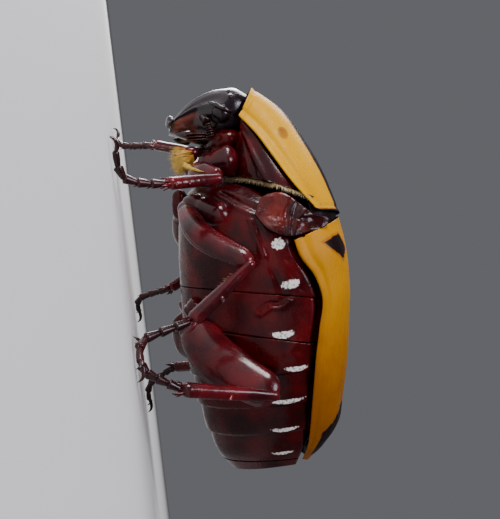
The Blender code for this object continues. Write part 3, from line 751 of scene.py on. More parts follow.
# %% [markdown]
# ## Scutellum
#
# The small black triangle between the wing cases is a thin plate with a slightly domed top. A box
# cut to a point would be flat, so it is wrapped as a squared ring that narrows to the back and is
# rounded at the front.

# %% Scutellum
SCUTELLUM_FRONT, SCUTELLUM_LENGTH = -2.45, 1.85
SCUTELLUM_HALF_WIDTH, SCUTELLUM_HALF_THICK, SCUTELLUM_CROWN = 1.08, 0.36, 0.07


def scutellum_point(along, around):
    half = SCUTELLUM_HALF_WIDTH * (1 - along) ** 0.8 + 0.02
    angle = 2 * math.pi * (around + 0.125)
    across, up = (max(-1, min(1, 1.35 * turn(angle))) for turn in (math.cos, math.sin))
    crown = SCUTELLUM_CROWN * (1 - across**2) if up > 0.99 else 0.0
    front_edge = min(1.0, along / 0.10) ** 0.5
    height = 10.62 + 0.07 * along + (SCUTELLUM_HALF_THICK * up + crown) * front_edge
    return Vector((SCUTELLUM_FRONT + SCUTELLUM_LENGTH * along, half * across, height))


piece("scutellum_plate", wrap(40, 48, scutellum_point), HEAD_LOOK, ["scutellum"])

# %% [markdown]
# ## Underside of the first segment
#
# Below the shield the prothorax narrows to the throat, in a fold along each side. The skin follows
# the shield's own arch from within, so that the two can't come apart, and a slanting cut ends it
# before the next segment.

# %% Underside of the first segment
# Middle of the throat, as t, x, z
THROAT = (
    (0.00, -7.00, 6.30),
    (0.25, -6.60, 5.95),
    (0.50, -6.00, 5.60),
    (0.75, -5.10, 5.40),
    (1.00, -3.90, 5.50),
)
# Share of the ring that runs over the throat side
THROAT_TURN = 0.62
NECK_CUT = (-5.10, 5.60, 0.52)


def plane_x(cut, z):
    """The x of a slanting cut, given as x and z of one point and how x grows with z."""
    return cut[0] + cut[2] * (z - cut[1])


def prothorax_point(along, around):
    along = 0.05 + 0.95 * along
    side, share = side_and_share(there_and_back(around, THROAT_TURN))
    if around > THROAT_TURN:
        point = shell_point(PRONOTUM, along, SHELL_THICKNESS + 0.05, PRONOTUM_SQUARENESS, share)
    else:
        rim_x, rim_y, rim_z = through(PRONOTUM, along)[2:]
        throat_x, throat_z = through(THROAT, along)
        wide, deep = arch(share, 1.8)
        point = Vector((
            rim_x + (throat_x - rim_x) * deep,
            (rim_y - 0.12) * wide,
            rim_z - 0.04 + (throat_z - rim_z + 0.04) * deep,
        ))
        fold = 0.10 * hump(share, 0.30, 0.05) - 0.07 * hump(share, 0.38, 0.04)
        point += Vector((0, 1, -0.6)) * (fold * smooth(0.0, 0.2, along) + 0.03 * ruffle(point, 0.8))
    point.x = min(point.x, plane_x(NECK_CUT, point.z) - 0.04)
    return mirrored(point, side)


def prothorax_marks(along, around, point):
    blush = hump(point.z, 6.4, 0.6) * smooth(-5.6, -6.8, point.x)
    return {"glow": 0.70 * blush - 0.55 + 0.25 * ruffle(point, 1.2)}


prothorax = wrap(70, 130, prothorax_point, prothorax_marks)
piece("prothorax_skin", prothorax, MAROON, ["prothorax"])

# %% [markdown]
# ## Fringe of the first segment
#
# A fringe of tan bristles stands along the segment's hind edge. The roots are drawn from the skin's
# own function, so each bristle grows from the surface.

# %% Fringe of the first segment
FRINGE_BRISTLES = 520
FRINGE_REACH = 0.44
FRINGE_CORE = 8.0


def hind_fringe():
    roots = []
    for side in (LEFT, RIGHT):
        for k in range(FRINGE_BRISTLES):
            f = k / FRINGE_BRISTLES
            around = THROAT_TURN * (FRINGE_REACH * f if side == LEFT else 1 - FRINGE_REACH * f)
            point = prothorax_point(random.uniform(0.90, 1.0), around)
            out = Vector((0, point.y, point.z - FRINGE_CORE)).normalized()
            aim = Vector((0.75, 0, 0)) + out * 0.75 + jitter(0.28)
            length = random.uniform(0.15, 0.34)
            uv = (f, 0.25 + 0.25 * side)
            roots.append((point - out * 0.05, aim, length, Vector((0.25, 0, -0.1)), uv))
    return hair("hind_fringe_bristles", roots, TAN, 0.018)


hind_fringe()

# %% [markdown]
# ## The hull of the trunk
#
# Middle and hind thorax, hip plates, belly plates and end plate together have the form of a boat.
# They are cut from one hull, so that their faces run on from each other. Seams, ridges and dents
# are drawn as lines in the side view and pressed into the hull; white bloom is a list of small
# ovals.

# %% The hull of the trunk
# Sections of the belly side: x, half-width, height of the flank, height of the belly
TRUNK = (
    (-4.85, 1.70, 5.20, 3.75),
    (-4.30, 3.10, 6.10, 3.20),
    (-3.30, 4.15, 7.00, 2.92),
    (-1.80, 4.75, 7.40, 2.72),
    (-0.80, 4.90, 7.60, 2.64),
    (0.20, 4.90, 8.10, 2.58),
    (1.50, 4.80, 8.38, 2.52),
    (3.00, 4.75, 8.02, 2.52),
    (5.00, 4.45, 7.66, 2.62),
    (7.00, 3.75, 7.45, 2.95),
    (8.60, 2.55, 7.36, 3.45),
    (9.60, 1.45, 7.15, 4.15),
)
# Height of the hidden ridge, as (x, z)
TRUNK_TOP = (
    (-4.85, 8.60), (-3.00, 9.85), (-1.50, 10.20), (1.10, 10.15), (4.20, 9.65),
    (6.10, 9.20), (7.60, 8.55), (8.80, 7.80), (9.60, 7.32),
)
TRUNK_SQUARENESS = 2.15
FRONT_END, BACK_END = -4.85, 9.60
# Share of the ring that runs over the belly side
BELLY_TURN = 0.74
PLATE_EDGES = (4.50, 6.00, 7.42, 8.80)
PLATE_STEP = 0.14
TRUNK_CORE = 6.3
TOP_INSET, TOP_LIFT = 0.75, 0.10
# Seams and ridges, in the side view: height, width, line
RELIEF = (
    (-0.10, 0.05, ((-2.75, 6.05), (-1.70, 6.25), (-0.60, 6.50), (0.95, 6.92))),
    (0.13, 0.08, ((-2.70, 5.88), (-1.80, 6.05), (-0.95, 6.24))),
    (-0.07, 0.05, ((-0.70, 7.30), (0.10, 7.50), (1.15, 8.10))),
    (0.06, 0.10, ((-4.10, 4.60), (-3.50, 5.20), (-2.95, 5.95))),
    (-0.10, 0.07, ((-4.20, 4.90), (-3.60, 5.55), (-3.05, 6.30))),
    (0.04, 0.10, ((-4.20, 5.30), (-3.75, 5.95), (-3.45, 6.40))),
    (0.14, 0.10, ((1.18, 7.15), (1.50, 6.75), (1.42, 6.25), (1.70, 5.80))),
    (-0.10, 0.08, ((0.95, 7.15), (1.27, 6.75), (1.19, 6.25), (1.47, 5.80))),
    (0.08, 0.26, ((3.15, 7.30), (3.55, 6.90), (3.85, 7.20))),
)
# White bloom, in the side view: x, z, half-length along x and along z
BLOOM = (
    (-1.43, 6.96, 0.27, 0.32), (0.45, 7.30, 0.23, 0.42), (2.72, 6.71, 0.17, 0.54),
    (4.36, 7.14, 0.12, 0.56), (5.86, 6.62, 0.11, 0.80), (7.29, 6.45, 0.10, 0.68),
    (8.67, 6.42, 0.09, 0.56),
)
NO_BLOOM = -9.0


def plate_offset(x):
    """How far the belly plates stand in from the hull: each ends in a step over the next."""
    for start, end in zip(PLATE_EDGES, PLATE_EDGES[1:]):
        if start < x <= end:
            return -PLATE_STEP * (1 - smooth(start, end, x)) * smooth(start, start + 0.05, x)
    return 0.0


def trunk_point(x, around, inset=0.0):
    """A point of the hull at x: around runs over the belly, then back over the hidden ridge."""
    half_width, side_z, belly_z = through(TRUNK, max(FRONT_END, min(BACK_END, x)))
    side, share = side_and_share(there_and_back(around, BELLY_TURN))
    swell = inset
    if around > BELLY_TURN:
        wide, high = arch(share, WING_CASE_SQUARENESS)
        top = through(TRUNK_TOP, max(FRONT_END, min(BACK_END, x)))[0]
        y = (half_width - TOP_INSET) * wide
        z = side_z + TOP_LIFT + (top - side_z - TOP_LIFT) * high
    else:
        wide, deep = arch(share, TRUNK_SQUARENESS)
        offset = plate_offset(x)
        y, z = (half_width + offset) * wide, side_z + (belly_z - offset - side_z) * deep
        for height, width, line in RELIEF:
            far = near_line(x, z, line)
            if far < 3 * width:
                swell += height * hump(far, 0.0, width)
        swell -= 0.10 * hump(y, 0.0, 0.07) * smooth(0.3, -0.5, x) * smooth(-3.2, -2.6, x)
        swell += 0.02 * ruffle((x, y * side, z), 0.9, 7.0)
    out = Vector((0, y * side, z - TRUNK_CORE))
    return Vector((x, y * side, z)) + (out.normalized() if out.length > 1e-6 else out) * swell


def trunk_marks(along, around, point):
    bloom = NO_BLOOM
    for x, z, half_x, half_z in BLOOM:
        aside = (point.z - z) / half_z
        sag = 0.0 if half_x > 0.2 else -0.09 * aside * aside
        bloom = max(bloom, 1 - math.hypot((point.x - x - sag) / half_x, aside))
    blush = 0.25 * hump(point.x, 1.9, 0.9) * smooth(4.0, 6.5, point.z)
    glow = 0.30 * ruffle(point, 1.6, 2.0) + blush
    return {
        "chalk": 0.16 + bloom * 0.35 if abs(point.y) > 1.0 else 0.0,
        # Darker towards the front, where the hull tucks under the first segment: painted shade.
        "glow": glow - 0.80 * smooth(-3.2, -4.2, point.x),
    }


# %% [markdown]
# ## Slices of the hull
#
# Cutting a solid with a boolean would leave sharp, messy edges. Here each slice is wrapped on its
# own, between two slanting cuts, and its edge rows turn inwards before they are closed, so the
# seams read as fine dark lines.

# %% Slices of the hull
# Slanting cuts, each as x and z of a point and how x grows with z
COXA_FRONT = (0.04, 2.50, 0.20)
COXA_BACK = (1.95, 2.50, 0.24)
TAIL = (9.00, 4.00, 0.06)
# Half the width of a seam between two slices
SUTURE = 0.015
KNOB_PATH = ((-3.3, 0, 3.05), (-4.2, 0, 3.05), (-4.9, 0, 3.12))
KNOB_RADII = (0.42, 0.40, 0.33)


def slice_rows(count):
    """Rows of a slice as (share of its length, inset)."""
    edge = [(0.0, -0.9), (0.0, -0.10), (0.0, -0.05), (0.003, -0.015), (0.010, 0.0)]
    middle = [(0.010 + 0.98 * k / count, 0.0) for k in range(1, count)]
    return edge + middle + [(1 - share, inset) for share, inset in reversed(edge)]


def slice_point(front, back, row, around):
    """A point of a row between two cuts. They slant, so x is settled together with z."""
    share, inset = row
    z = 5.0
    for _ in range(4):
        near = plane_x(front, z) + SUTURE if front else FRONT_END
        far = plane_x(back, z) - SUTURE if back else BACK_END
        x = near + (far - near) * share
        z = trunk_point(x, around).z
    return trunk_point(x, around, inset)


def trunk_slice(name, front, back, count, look, node):
    rows = slice_rows(count)

    def place(along, around):
        return slice_point(front, back, rows[round(along * (len(rows) - 1))], around)

    return piece(name, wrap(len(rows) - 1, 150, place, trunk_marks), look, [node])


trunk_slice("hind_thorax", None, COXA_FRONT, 90, MAROON, "metathorax")
trunk_slice("abdomen_plates", COXA_BACK, TAIL, 150, BELLY, "abdomen")
trunk_slice("tail_plate", TAIL, None, 16, BELLY, "pygidium")
piece("breast_knob", tube(KNOB_PATH, KNOB_RADII, 24, 20), MAROON)

# %% [markdown]
# ## Hip plates of the hind legs
#
# The hind hips are broad plates that lie flush in the hull, one on each side of the midline. Each
# takes its half of the ring and closes along the middle of the body.

# %% Hip plates of the hind legs
# Shares of the ring on the outer face and on the hidden one, and how far the hidden one turns
PLATE_FACE, PLATE_BACK, BACK_TURN = 0.66, 0.34, 0.13


def coxal_plate(side):
    rows = slice_rows(40)

    def place(along, around):
        half_turn = BELLY_TURN / 2
        if around < PLATE_FACE:
            turn = half_turn * (1 - around / PLATE_FACE)
        else:
            turn = 1 - BACK_TURN * (around - PLATE_FACE) / PLATE_BACK
        point = slice_point(COXA_FRONT, COXA_BACK, rows[round(along * (len(rows) - 1))], turn)
        return mirrored((point.x, min(point.y, -SUTURE), point.z), -side)

    bm = wrap(len(rows) - 1, 110, place, trunk_marks)
    word = WORD[side]
    return piece(f"coxal_plate_{word}", bm, MAROON, [f"hind_coxa_plate_{word}"])


for side in (LEFT, RIGHT):
    coxal_plate(side)

# %% [markdown]
# ## Side plates in front of the shoulders
#
# On each side a brick-red plate fills the corner between shield, wing case and breast, crossed by a
# sharp ridge. Its outline is measured; the face bulges from the middle outwards, and the ridge is
# the distance to a line.

# %% Side plates in front of the shoulders
# Outline of one plate, for y > 0
SIDE_PLATE = (
    (-2.89, 4.42, 6.20), (-3.62, 4.24, 6.66), (-3.70, 4.42, 7.55), (-2.98, 4.72, 8.35),
    (-2.62, 4.82, 8.72), (-2.35, 4.74, 9.35), (-2.00, 4.80, 9.15), (-1.84, 4.95, 8.35),
    (-1.74, 5.04, 7.72), (-1.84, 5.02, 7.20), (-2.21, 4.82, 6.61),
)
CARINA = ((-3.60, 8.15), (-2.95, 7.80), (-2.40, 7.60), (-1.80, 7.45))
FACE_ROWS = 0.75
PAST_RIM = 1.06


def side_plate(side):
    outline = [Vector(p) for p in SIDE_PLATE]
    middle = sum(outline, Vector()) / len(outline)
    closed = [(k / len(outline), *p) for k, p in enumerate(outline + outline[:1])]

    def place(along, around):
        rim = Vector(through(closed, around))
        if along < FACE_ROWS:
            f = along / FACE_ROWS
            point = middle.lerp(rim, PAST_RIM * math.sin(f * math.pi / 2))
            point.y += 0.14 * math.cos(f * math.pi / 2) ** 0.8 - 0.03
            far = near_line(point.x, point.z, CARINA)
            point.y += (0.09 * hump(far, 0.0, 0.05) - 0.05 * hump(far, 0.16, 0.08)) * (1 - f**6)
            point.y += 0.05 * ruffle(point, 0.6) + 0.02 * ruffle(point, 0.22)
        else:
            f = (along - FACE_ROWS) / (1 - FACE_ROWS)
            point = middle.lerp(rim, PAST_RIM * (1 - f))
            point.y -= SHELL_THICKNESS * min(1.0, f * 4) + 0.03
        return mirrored(point, side)

    def marks(along, around, point):
        lower = smooth(7.9, 7.2, point.z) * smooth(-1.6, -2.4, point.x)
        return {"glow": -0.45 + 0.95 * lower + 0.45 * ruffle(point, 0.7, 5.0)}

    bm, word = wrap(64, 110, place, marks), WORD[side]
    return piece(f"side_plate_{word}", bm, BRICK, [f"mesepimeron_{word}"])


for side in (LEFT, RIGHT):
    side_plate(side)

# %% [markdown]
# ## Head
#
# The face slopes down to a turned-up, notched lip. A sharp ridge runs from the eye to the lip on
# each side, and below it the side of the face folds under in a leaf shape, where the skin is
# thinner and redder. Face and throat are two arches on one ring; lip lobes, brows and jaws are
# short tubes set into it.

# %% Head
# Sections: t, face x and z, side x, y and z, throat x and z
HEAD = (
    (0.00, -9.16, 7.34, -8.20, 1.52, 6.84, -7.10, 6.10),
    (0.12, -9.72, 6.60, -8.50, 1.68, 6.05, -7.00, 5.60),
    (0.35, -9.80, 5.80, -8.60, 1.55, 5.30, -6.95, 4.95),
    (0.55, -9.56, 4.85, -8.68, 1.18, 4.55, -7.12, 4.30),
    (0.78, -9.00, 3.92, -8.45, 1.12, 3.75, -7.45, 3.62),
    (1.00, -8.25, 3.10, -8.10, 1.00, 3.02, -7.72, 2.92),
)
FACE_SQUARENESS, THROAT_SQUARENESS = 2.5, 2.0
# Short tubes of lip lobe, brow and jaw: points, radii, sides, rings, direction of their flat side
TRIMMINGS = (
    (((-8.06, 0.12, 3.06), (-8.32, 0.36, 2.99), (-8.38, 0.70, 3.03), (-8.18, 0.98, 3.16)),
     (0.10, 0.15, 0.16, 0.10), 18, 24, (1, 0, 0)),
    (((-8.95, 1.20, 5.00), (-8.72, 1.70, 5.22), (-8.44, 1.90, 5.60), (-8.20, 1.74, 6.06)),
     (0.10, 0.10, 0.11, 0.10), 16, 28, (0, 1, 0)),
    (((-7.50, 0.80, 4.10), (-7.52, 0.90, 3.60), (-7.62, 0.72, 3.15)),
     (0.26, 0.20, 0.08), 18, 20, (1, 0, 0)),
)
HEAD_CORE = (-7.9, 4.9)


def head_point(t, around):
    face_x, face_z, side_x, side_y, side_z, throat_x, throat_z = through(HEAD, t)
    side, share = side_and_share(there_and_back(around, 0.5))
    front = smooth(0.15, 0.45, t)
    if around <= 0.5:
        wide, high = arch(share, FACE_SQUARENESS)
        end_x, end_z = face_x, face_z
        swell = (0.10 * hump(share, 0.03, 0.06) - 0.10 * hump(share, 0.22, 0.12)) * front
        swell -= 0.10 * hump(share, 1.0, 0.45) * hump(t, 0.30, 0.22)
        swell += 0.05 * hump(share, 0.25, 0.12) * hump(t, 0.22, 0.10)
        ridges = 0.06 * hump(share, 0.60, 0.09) - 0.05 * hump(share, 0.80, 0.10)
        swell += ridges * smooth(0.25, 0.55, t)
    else:
        wide, high = arch(share, THROAT_SQUARENESS)
        end_x, end_z = throat_x, throat_z
        swell = -0.05 * hump(share, 0.30, 0.16) * smooth(0.45, 0.65, t)
        swell -= 0.10 * hump(share, 0.25, 0.15) * hump(t, 0.42, 0.08)
    x, z = side_x + (end_x - side_x) * high, side_z + (end_z - side_z) * high
    point = Vector((x, side_y * wide * side, z))
    from_core = Vector((point.x - HEAD_CORE[0], point.y * 1.2, (point.z - HEAD_CORE[1]) * 0.3))
    out = from_core.normalized()
    return point + out * (swell + 0.015 * ruffle(point, 0.5, 4.0))


def head_marks(t, around, point):
    under = smooth(0.5, 0.53, around) * smooth(1.0, 0.97, around)
    leaf = under * smooth(0.50, 0.66, t) * smooth(1.0, 0.9, t)
    return {"glow": 1.2 * leaf * (0.6 + 0.5 * ruffle(point, 0.6)) - 0.1}


def head():
    parts = [wrap(120, 150, head_point, head_marks)]
    for side in (LEFT, RIGHT):
        for line, radii, sides, rings, flat in TRIMMINGS:
            parts.append(tube([mirrored(p, side) for p in line], radii, sides, rings, flat))
    return piece("head_capsule", gather(*parts), HEAD_LOOK, ["head"], True)


head()

# %% [markdown]
# ## Neck and eyes
#
# The neck is soft skin that fills the space between head and breast. It and the two eyes are the
# only truly round forms of this animal, so they start from Blender's sphere.

# %% Neck and eyes
NECK_CENTRE, NECK_SIZE = (-6.95, 0.0, 5.75), (0.85, 1.75, 1.05)
EYE_CENTRE = (-8.27, 1.42, 5.55)
EYE_RADIUS, EYE_FLATNESS = 0.50, 0.9


def ball(centre, size, fine):
    """A closed round bmesh. size is its three radii."""
    bm = bmesh.new()
    bmesh.ops.create_icosphere(bm, subdivisions=fine, radius=1)
    bmesh.ops.scale(bm, vec=size, verts=bm.verts)
    bmesh.ops.translate(bm, vec=centre, verts=bm.verts)
    return bm


piece("neck", ball(NECK_CENTRE, NECK_SIZE, 4), BELLY)
for side in (LEFT, RIGHT):
    size = (EYE_RADIUS, EYE_FLATNESS * EYE_RADIUS, EYE_RADIUS)
    eye = ball(mirrored(EYE_CENTRE, side), size, 5)
    piece(f"compound_eye_{WORD[side]}", eye, EYE, [f"eye_{WORD[side]}"])

# %% [markdown]
# ## Feelers
#
# Each feeler has a thick first joint, a stalk of beads, and a club of three leaves that folds
# against the cheek. Every joint is a short tube; the leaves are the same tube pressed flat.

# %% Feelers
FEELER = ((-8.28, 1.30, 4.55), (-7.75, 1.95, 4.75), (-7.05, 2.00, 4.85))
CLUB_TIP = (-7.15, 1.85, 3.55)
BEADS = 6
LEAF_SHIFT, LEAF_FLATNESS = 0.145, 0.26


def feeler(side):
    start, bend, end = (mirrored(p, side) for p in FEELER)
    tip = mirrored(CLUB_TIP, side)
    first_joint = [start, start.lerp(bend, 0.6), bend.lerp(start, 0.1)]
    parts = [tube(first_joint, (0.17, 0.20, 0.27), 20, 18)]
    for k in range(BEADS):
        near, far = bend.lerp(end, k / BEADS), bend.lerp(end, (k + 1.15) / BEADS)
        radii = (0.12, 0.19 + 0.008 * k, 0.15)
        parts.append(tube([near, near.lerp(far, 0.6), far], radii, 16, 10))
    for k in (-1, 0, 1):
        shift = Vector((LEAF_SHIFT * k, 0.0, 0.0))
        leaf = [end + shift * 0.7, end.lerp(tip, 0.5) + shift, tip + shift * 0.9]
        parts.append(tube(leaf, (0.15, 0.30, 0.22), 24, 26, (1, 0, 0), LEAF_FLATNESS))
    name = f"feeler_{WORD[side]}"
    return piece(name, gather(*parts), FEELER_LOOK, [f"antenna_{WORD[side]}"], True)


for side in (LEFT, RIGHT):
    feeler(side)

# %% [markdown]
# ## Mouth
#
# A flower beetle licks pollen, so its jaws are soft lobes with dense golden brushes, and a
# shield-like chin lies over them. The hairs of a brush cling together in tufts: each tuft has its
# own aim and length.

# %% Mouth
CHIN = ((-6.50, 0.0, 5.75), (-6.70, 0.0, 3.95))
BRUSH_ROOT = (-6.58, 0.70, 3.76)
BRUSH_LENGTH = 1.05
PALP = ((-6.60, 0.82, 3.55), (-6.58, 0.80, 3.00))
TUFTS, TUFT_HAIRS = 16, 64
# Turned by this share of a circle, each tuft stands in the widest gap left
GOLDEN_TURN = 0.382


def chin():
    back, front = CHIN
    widths = [(0, 0.60, 0.24), (0.5, 0.62, 0.26), (1, 0.20, 0.20)]

    def shape(t, angle):
        return 1 + 0.05 * math.cos(3 * angle) + 0.04 * math.sin(14 * t)

    plate = limb([(0, *back), (1, *front)], widths, (1, 0, 0.15), 40, 40, 0.2, shape)
    return piece("chin_plate", plate, MAROON, ["labium"])


def jaw_lobe(side):
    root = mirrored(BRUSH_ROOT, side)
    lobe = [root + Vector((0, 0, 0.55)), root, root + Vector((0.02, 0, -0.40))]
    parts = [tube(lobe, [0.26, 0.33, 0.16], 22, 18, (1, 0, 0))]
    palp = [mirrored(p, side) for p in PALP]
    joints = [root + Vector((0, 0, 0.35)), palp[0], palp[0].lerp(palp[1], 0.5), palp[1]]
    for near, far in zip(joints, joints[1:]):
        joint = [near, near.lerp(far, 0.6), far]
        parts.append(tube(joint, (0.11, 0.17, 0.13), 16, 12, (1, 0.2, 0)))
    word = WORD[side]
    return piece(f"jaw_lobe_{word}", gather(*parts), LEG, [f"maxilla_{word}"], True)


def mouth_brush(side):
    root = mirrored(BRUSH_ROOT, side)
    roots = []
    for tuft in range(TUFTS):
        turn = 2 * math.pi * (tuft * GOLDEN_TURN + 0.1)
        spread = math.sqrt((tuft + 0.5) / TUFTS)
        lean = Vector((0.44 * spread * math.cos(turn) + 0.22, 0.36 * spread * math.sin(turn), 0))
        reach = BRUSH_LENGTH * random.uniform(0.75, 1.15)
        for _ in range(TUFT_HAIRS):
            start = root + lean * 0.62 + jitter(0.13) + Vector((0, 0, 0.10))
            aim = Vector((0, 0, -1)) + lean * 1.3 + jitter(0.16)
            length = reach * random.uniform(0.6, 1.0)
            uv = (0.5 + 0.4 * lean.x, 0.5 + 0.4 * lean.y)
            roots.append((start, aim, length, -lean * 0.3, uv))
    return hair(f"mouth_brush_{WORD[side]}", roots, GOLD, 0.026)


chin()
for side in (LEFT, RIGHT):
    jaw_lobe(side)
    mouth_brush(side)

# %% [markdown]
# ## How the legs stand
#
# The pose is a list of joints: both ends of each hip, knee, ankle and the way of the foot. An
# armature would need skin weights, and this animal never moves, so the joints are kept as points
# and every leg piece is built on them. The two sides stand differently.

# %% How the legs stand
STANCES = {
    "fore_left": {
        "coxa": ((-5.85, 2.25, 6.00), (-5.70, 1.45, 4.05)),
        "knee": (-4.75, 4.10, 4.75),
        "ankle": (-4.60, 5.35, 2.20),
        "toes": ((-4.68, 5.75, 1.15), (-4.95, 6.00, 0.42), (-5.55, 6.15, 0.24),
                 (-6.05, 6.28, 0.24)),
    },
    "fore_right": {
        "coxa": ((-5.85, 2.25, 6.00), (-5.80, 1.45, 4.05)),
        "knee": (-7.20, 4.10, 5.05),
        "ankle": (-8.15, 4.95, 2.30),
        "toes": ((-8.25, 5.25, 1.20), (-8.40, 5.55, 0.45), (-8.70, 5.95, 0.24),
                 (-9.00, 6.40, 0.24)),
    },
    "mid_left": {
        "coxa": ((-2.80, 3.60, 5.05), (-4.05, 1.50, 3.20)),
        "knee": (-0.72, 6.20, 5.45),
        "ankle": (1.42, 6.40, 2.50),
        "toes": ((1.62, 6.85, 1.40), (1.80, 7.25, 0.52), (2.15, 7.75, 0.24), (2.60, 8.20, 0.24)),
    },
    "mid_right": {
        "coxa": ((-2.80, 3.60, 5.05), (-4.05, 1.50, 3.20)),
        "knee": (-1.30, 6.50, 5.30),
        "ankle": (0.30, 6.95, 2.30),
        "toes": ((0.45, 7.40, 1.25), (0.65, 7.75, 0.45), (1.00, 8.20, 0.24), (1.45, 8.62, 0.24)),
    },
    "hind_left": {
        "coxa": ((0.95, 2.30, 3.50), (1.60, 2.00, 2.75)),
        "knee": (5.12, 6.25, 5.85),
        "ankle": (4.05, 7.10, 1.70),
        "toes": ((3.60, 7.10, 0.98), (3.25, 6.95, 0.45), (2.85, 6.78, 0.24), (2.45, 6.60, 0.24)),
    },
    "hind_right": {
        "coxa": ((0.95, 2.30, 3.50), (1.60, 2.00, 2.75)),
        "knee": (5.20, 6.30, 5.05),
        "ankle": (5.10, 7.25, 1.95),
        "toes": ((5.55, 7.60, 1.15), (5.95, 7.85, 0.46), (6.50, 8.10, 0.24), (7.05, 8.32, 0.24)),
    },
}
# How far the middle of each thigh bows out from the straight line between hip and knee
THIGH_BOW = {"fore": (0.0, 0.15, -0.35), "mid": (0.15, 0.55, -0.75), "hind": (0.1, 0.45, -0.65)}
# Shares of the foot at which its five joints end
SEGMENT_ENDS = (0.0, 0.22, 0.42, 0.61, 0.79, 1.0)


class Leg:
    """The joints of one leg on its own side, in millimetres, and the directions of its shin."""

    def __init__(self, name):
        self.name = name
        self.pair, word = name.split("_")
        self.side = LEFT if word == "left" else RIGHT
        stance = STANCES[name]
        self.root, self.hip = (mirrored(p, self.side) for p in stance["coxa"])
        self.knee, self.ankle = (mirrored(stance[key], self.side) for key in ("knee", "ankle"))
        bowed = (self.hip + self.knee) / 2 + mirrored(THIGH_BOW[self.pair], self.side)
        self.thigh_path = [(0, *self.hip), (0.5, *bowed), (1, *self.knee)]
        self.down = (self.ankle - self.knee).normalized()
        self.flat = self.down.cross((self.ankle - self.hip).normalized()).normalized()
        self.edge = self.flat.cross(self.down).normalized()
        if self.edge.dot(self.knee - self.hip) < 0:
            self.edge = -self.edge
        toes = [self.ankle] + [mirrored(p, self.side) for p in stance["toes"]]
        travelled = [0.0]
        for near, far in zip(toes, toes[1:]):
            travelled.append(travelled[-1] + (far - near).length)
        path = [(d / travelled[-1], *p) for d, p in zip(travelled, toes)]
        self.joints = [Vector(through(path, t)) for t in SEGMENT_ENDS]


legs = [Leg(name) for name in STANCES]
for leg in legs:
    thigh_length, shin_length = (leg.knee - leg.hip).length, (leg.ankle - leg.knee).length
    print(leg.name, "thigh", round(thigh_length, 2), "shin", round(shin_length, 2))

# %% [markdown]
# ## Hips and thighs
#
# A thigh is a flattened, bowed club with a collar at the hip, a furrow for the shin and a low keel.
# A subdivided box could be pulled to that form; a limb along the joints with a few width stations
# gives it at once, and keeps every thigh of one make.

# %% Hips and thighs
# Half-thickness at body and hip, half-width and half-thickness of the thigh, and its flat direction
COXA = {"fore": (0.80, 0.52), "mid": (0.72, 0.60), "hind": (0.70, 0.62)}
THIGH = {"fore": (0.60, 0.42), "mid": (0.62, 0.44), "hind": (1.06, 0.52)}
THIGH_FLAT = {"fore": (0.0, 0.9, -0.15), "mid": (-0.35, 0.9, 0.05), "hind": (-0.35, 0.9, -0.12)}


def coxa(leg):
    start, end = COXA[leg.pair]
    path = [(0, *leg.root), (0.5, *((leg.root + leg.hip) / 2)), (1, *leg.hip)]
    widths = [(0, start, start), (0.5, (start + end) / 2, (start + end) / 2), (1, end, end)]

    def shape(t, angle):
        return (1 + 0.04 * math.cos(2 * angle) + 0.03 * math.cos(5 * angle)
                - 0.07 * hump(t, 0.62, 0.06))

    return limb(path, widths, (0, 0, 1), 48, 40, 0.25, shape)


def thigh(leg):
    half_width, half_thick = THIGH[leg.pair]
    widths = [
        (0.0, 0.72 * half_width, 0.85 * half_thick),
        (0.5, half_width, half_thick),
        (1.0, 0.74 * half_width, 0.85 * half_thick),
    ]

    def shape(t, angle):
        collar = -0.10 * hump(t, 0.13, 0.025)
        dent = 0.05 * hump(math.sin(angle), 0.2, 0.10) * smooth(0.2, 0.4, t)
        shin_furrow = -0.05 * hump(math.cos(angle), -1.0, 0.12) * smooth(0.5, 0.8, t)
        keel = 0.03 * hump(math.cos(angle), 1.0, 0.08)
        return 1 + (collar - dent) + shin_furrow + keel

    flat = mirrored(THIGH_FLAT[leg.pair], leg.side)
    return limb(leg.thigh_path, widths, flat, 56, 72, 0.12, shape)


for leg in legs:
    piece("hip_" + leg.name, coxa(leg), LEG, ["coxa_" + leg.name])
    piece("thigh_" + leg.name, thigh(leg), LEG, ["femur_" + leg.name])

# %% [markdown]
# ## Shins
#
# A shin is a three-ridged rod that widens to the foot. On its outer edge stand teeth for digging,
# at its end two spurs and a crown of spines. All are small tubes that end in a point, set with
# their roots inside the rod.

# %% Shins
# Half-width and half-thickness, and the shares of the way down at which teeth stand
SHIN = {"fore": (0.42, 0.28), "mid": (0.37, 0.28), "hind": (0.36, 0.30)}
SHIN_TEETH = {"fore": (0.62, 0.86), "mid": (0.55,), "hind": (0.50,)}
TOOTH = 0.34
NOTCHES = 9
CROWN = 9


def shin(leg):
    half_width, half_thick = SHIN[leg.pair]
    widths = [
        (0.0, 0.66 * half_width, 0.90 * half_thick),
        (0.12, 0.60 * half_width, 0.85 * half_thick),
        (0.5, 0.90 * half_width, half_thick),
        (0.9, half_width, half_thick),
        (1.0, 1.06 * half_width, 1.06 * half_thick),
    ]

    def shape(t, angle):
        ridges = 0.05 * math.cos(3 * angle + 0.6) * smooth(0.1, 0.3, t)
        notches = 0.05 * max(0.0, math.sin(2 * math.pi * NOTCHES * t)) ** 3
        return 1 + ridges + notches * hump(abs(math.cos(angle)), 1.0, 0.2) * smooth(0.25, 0.5, t)

    path = [(0, *(leg.knee - leg.down * 0.1)), (1, *leg.ankle)]
    return limb(path, widths, leg.flat, 44, 90, 0.08, shape)


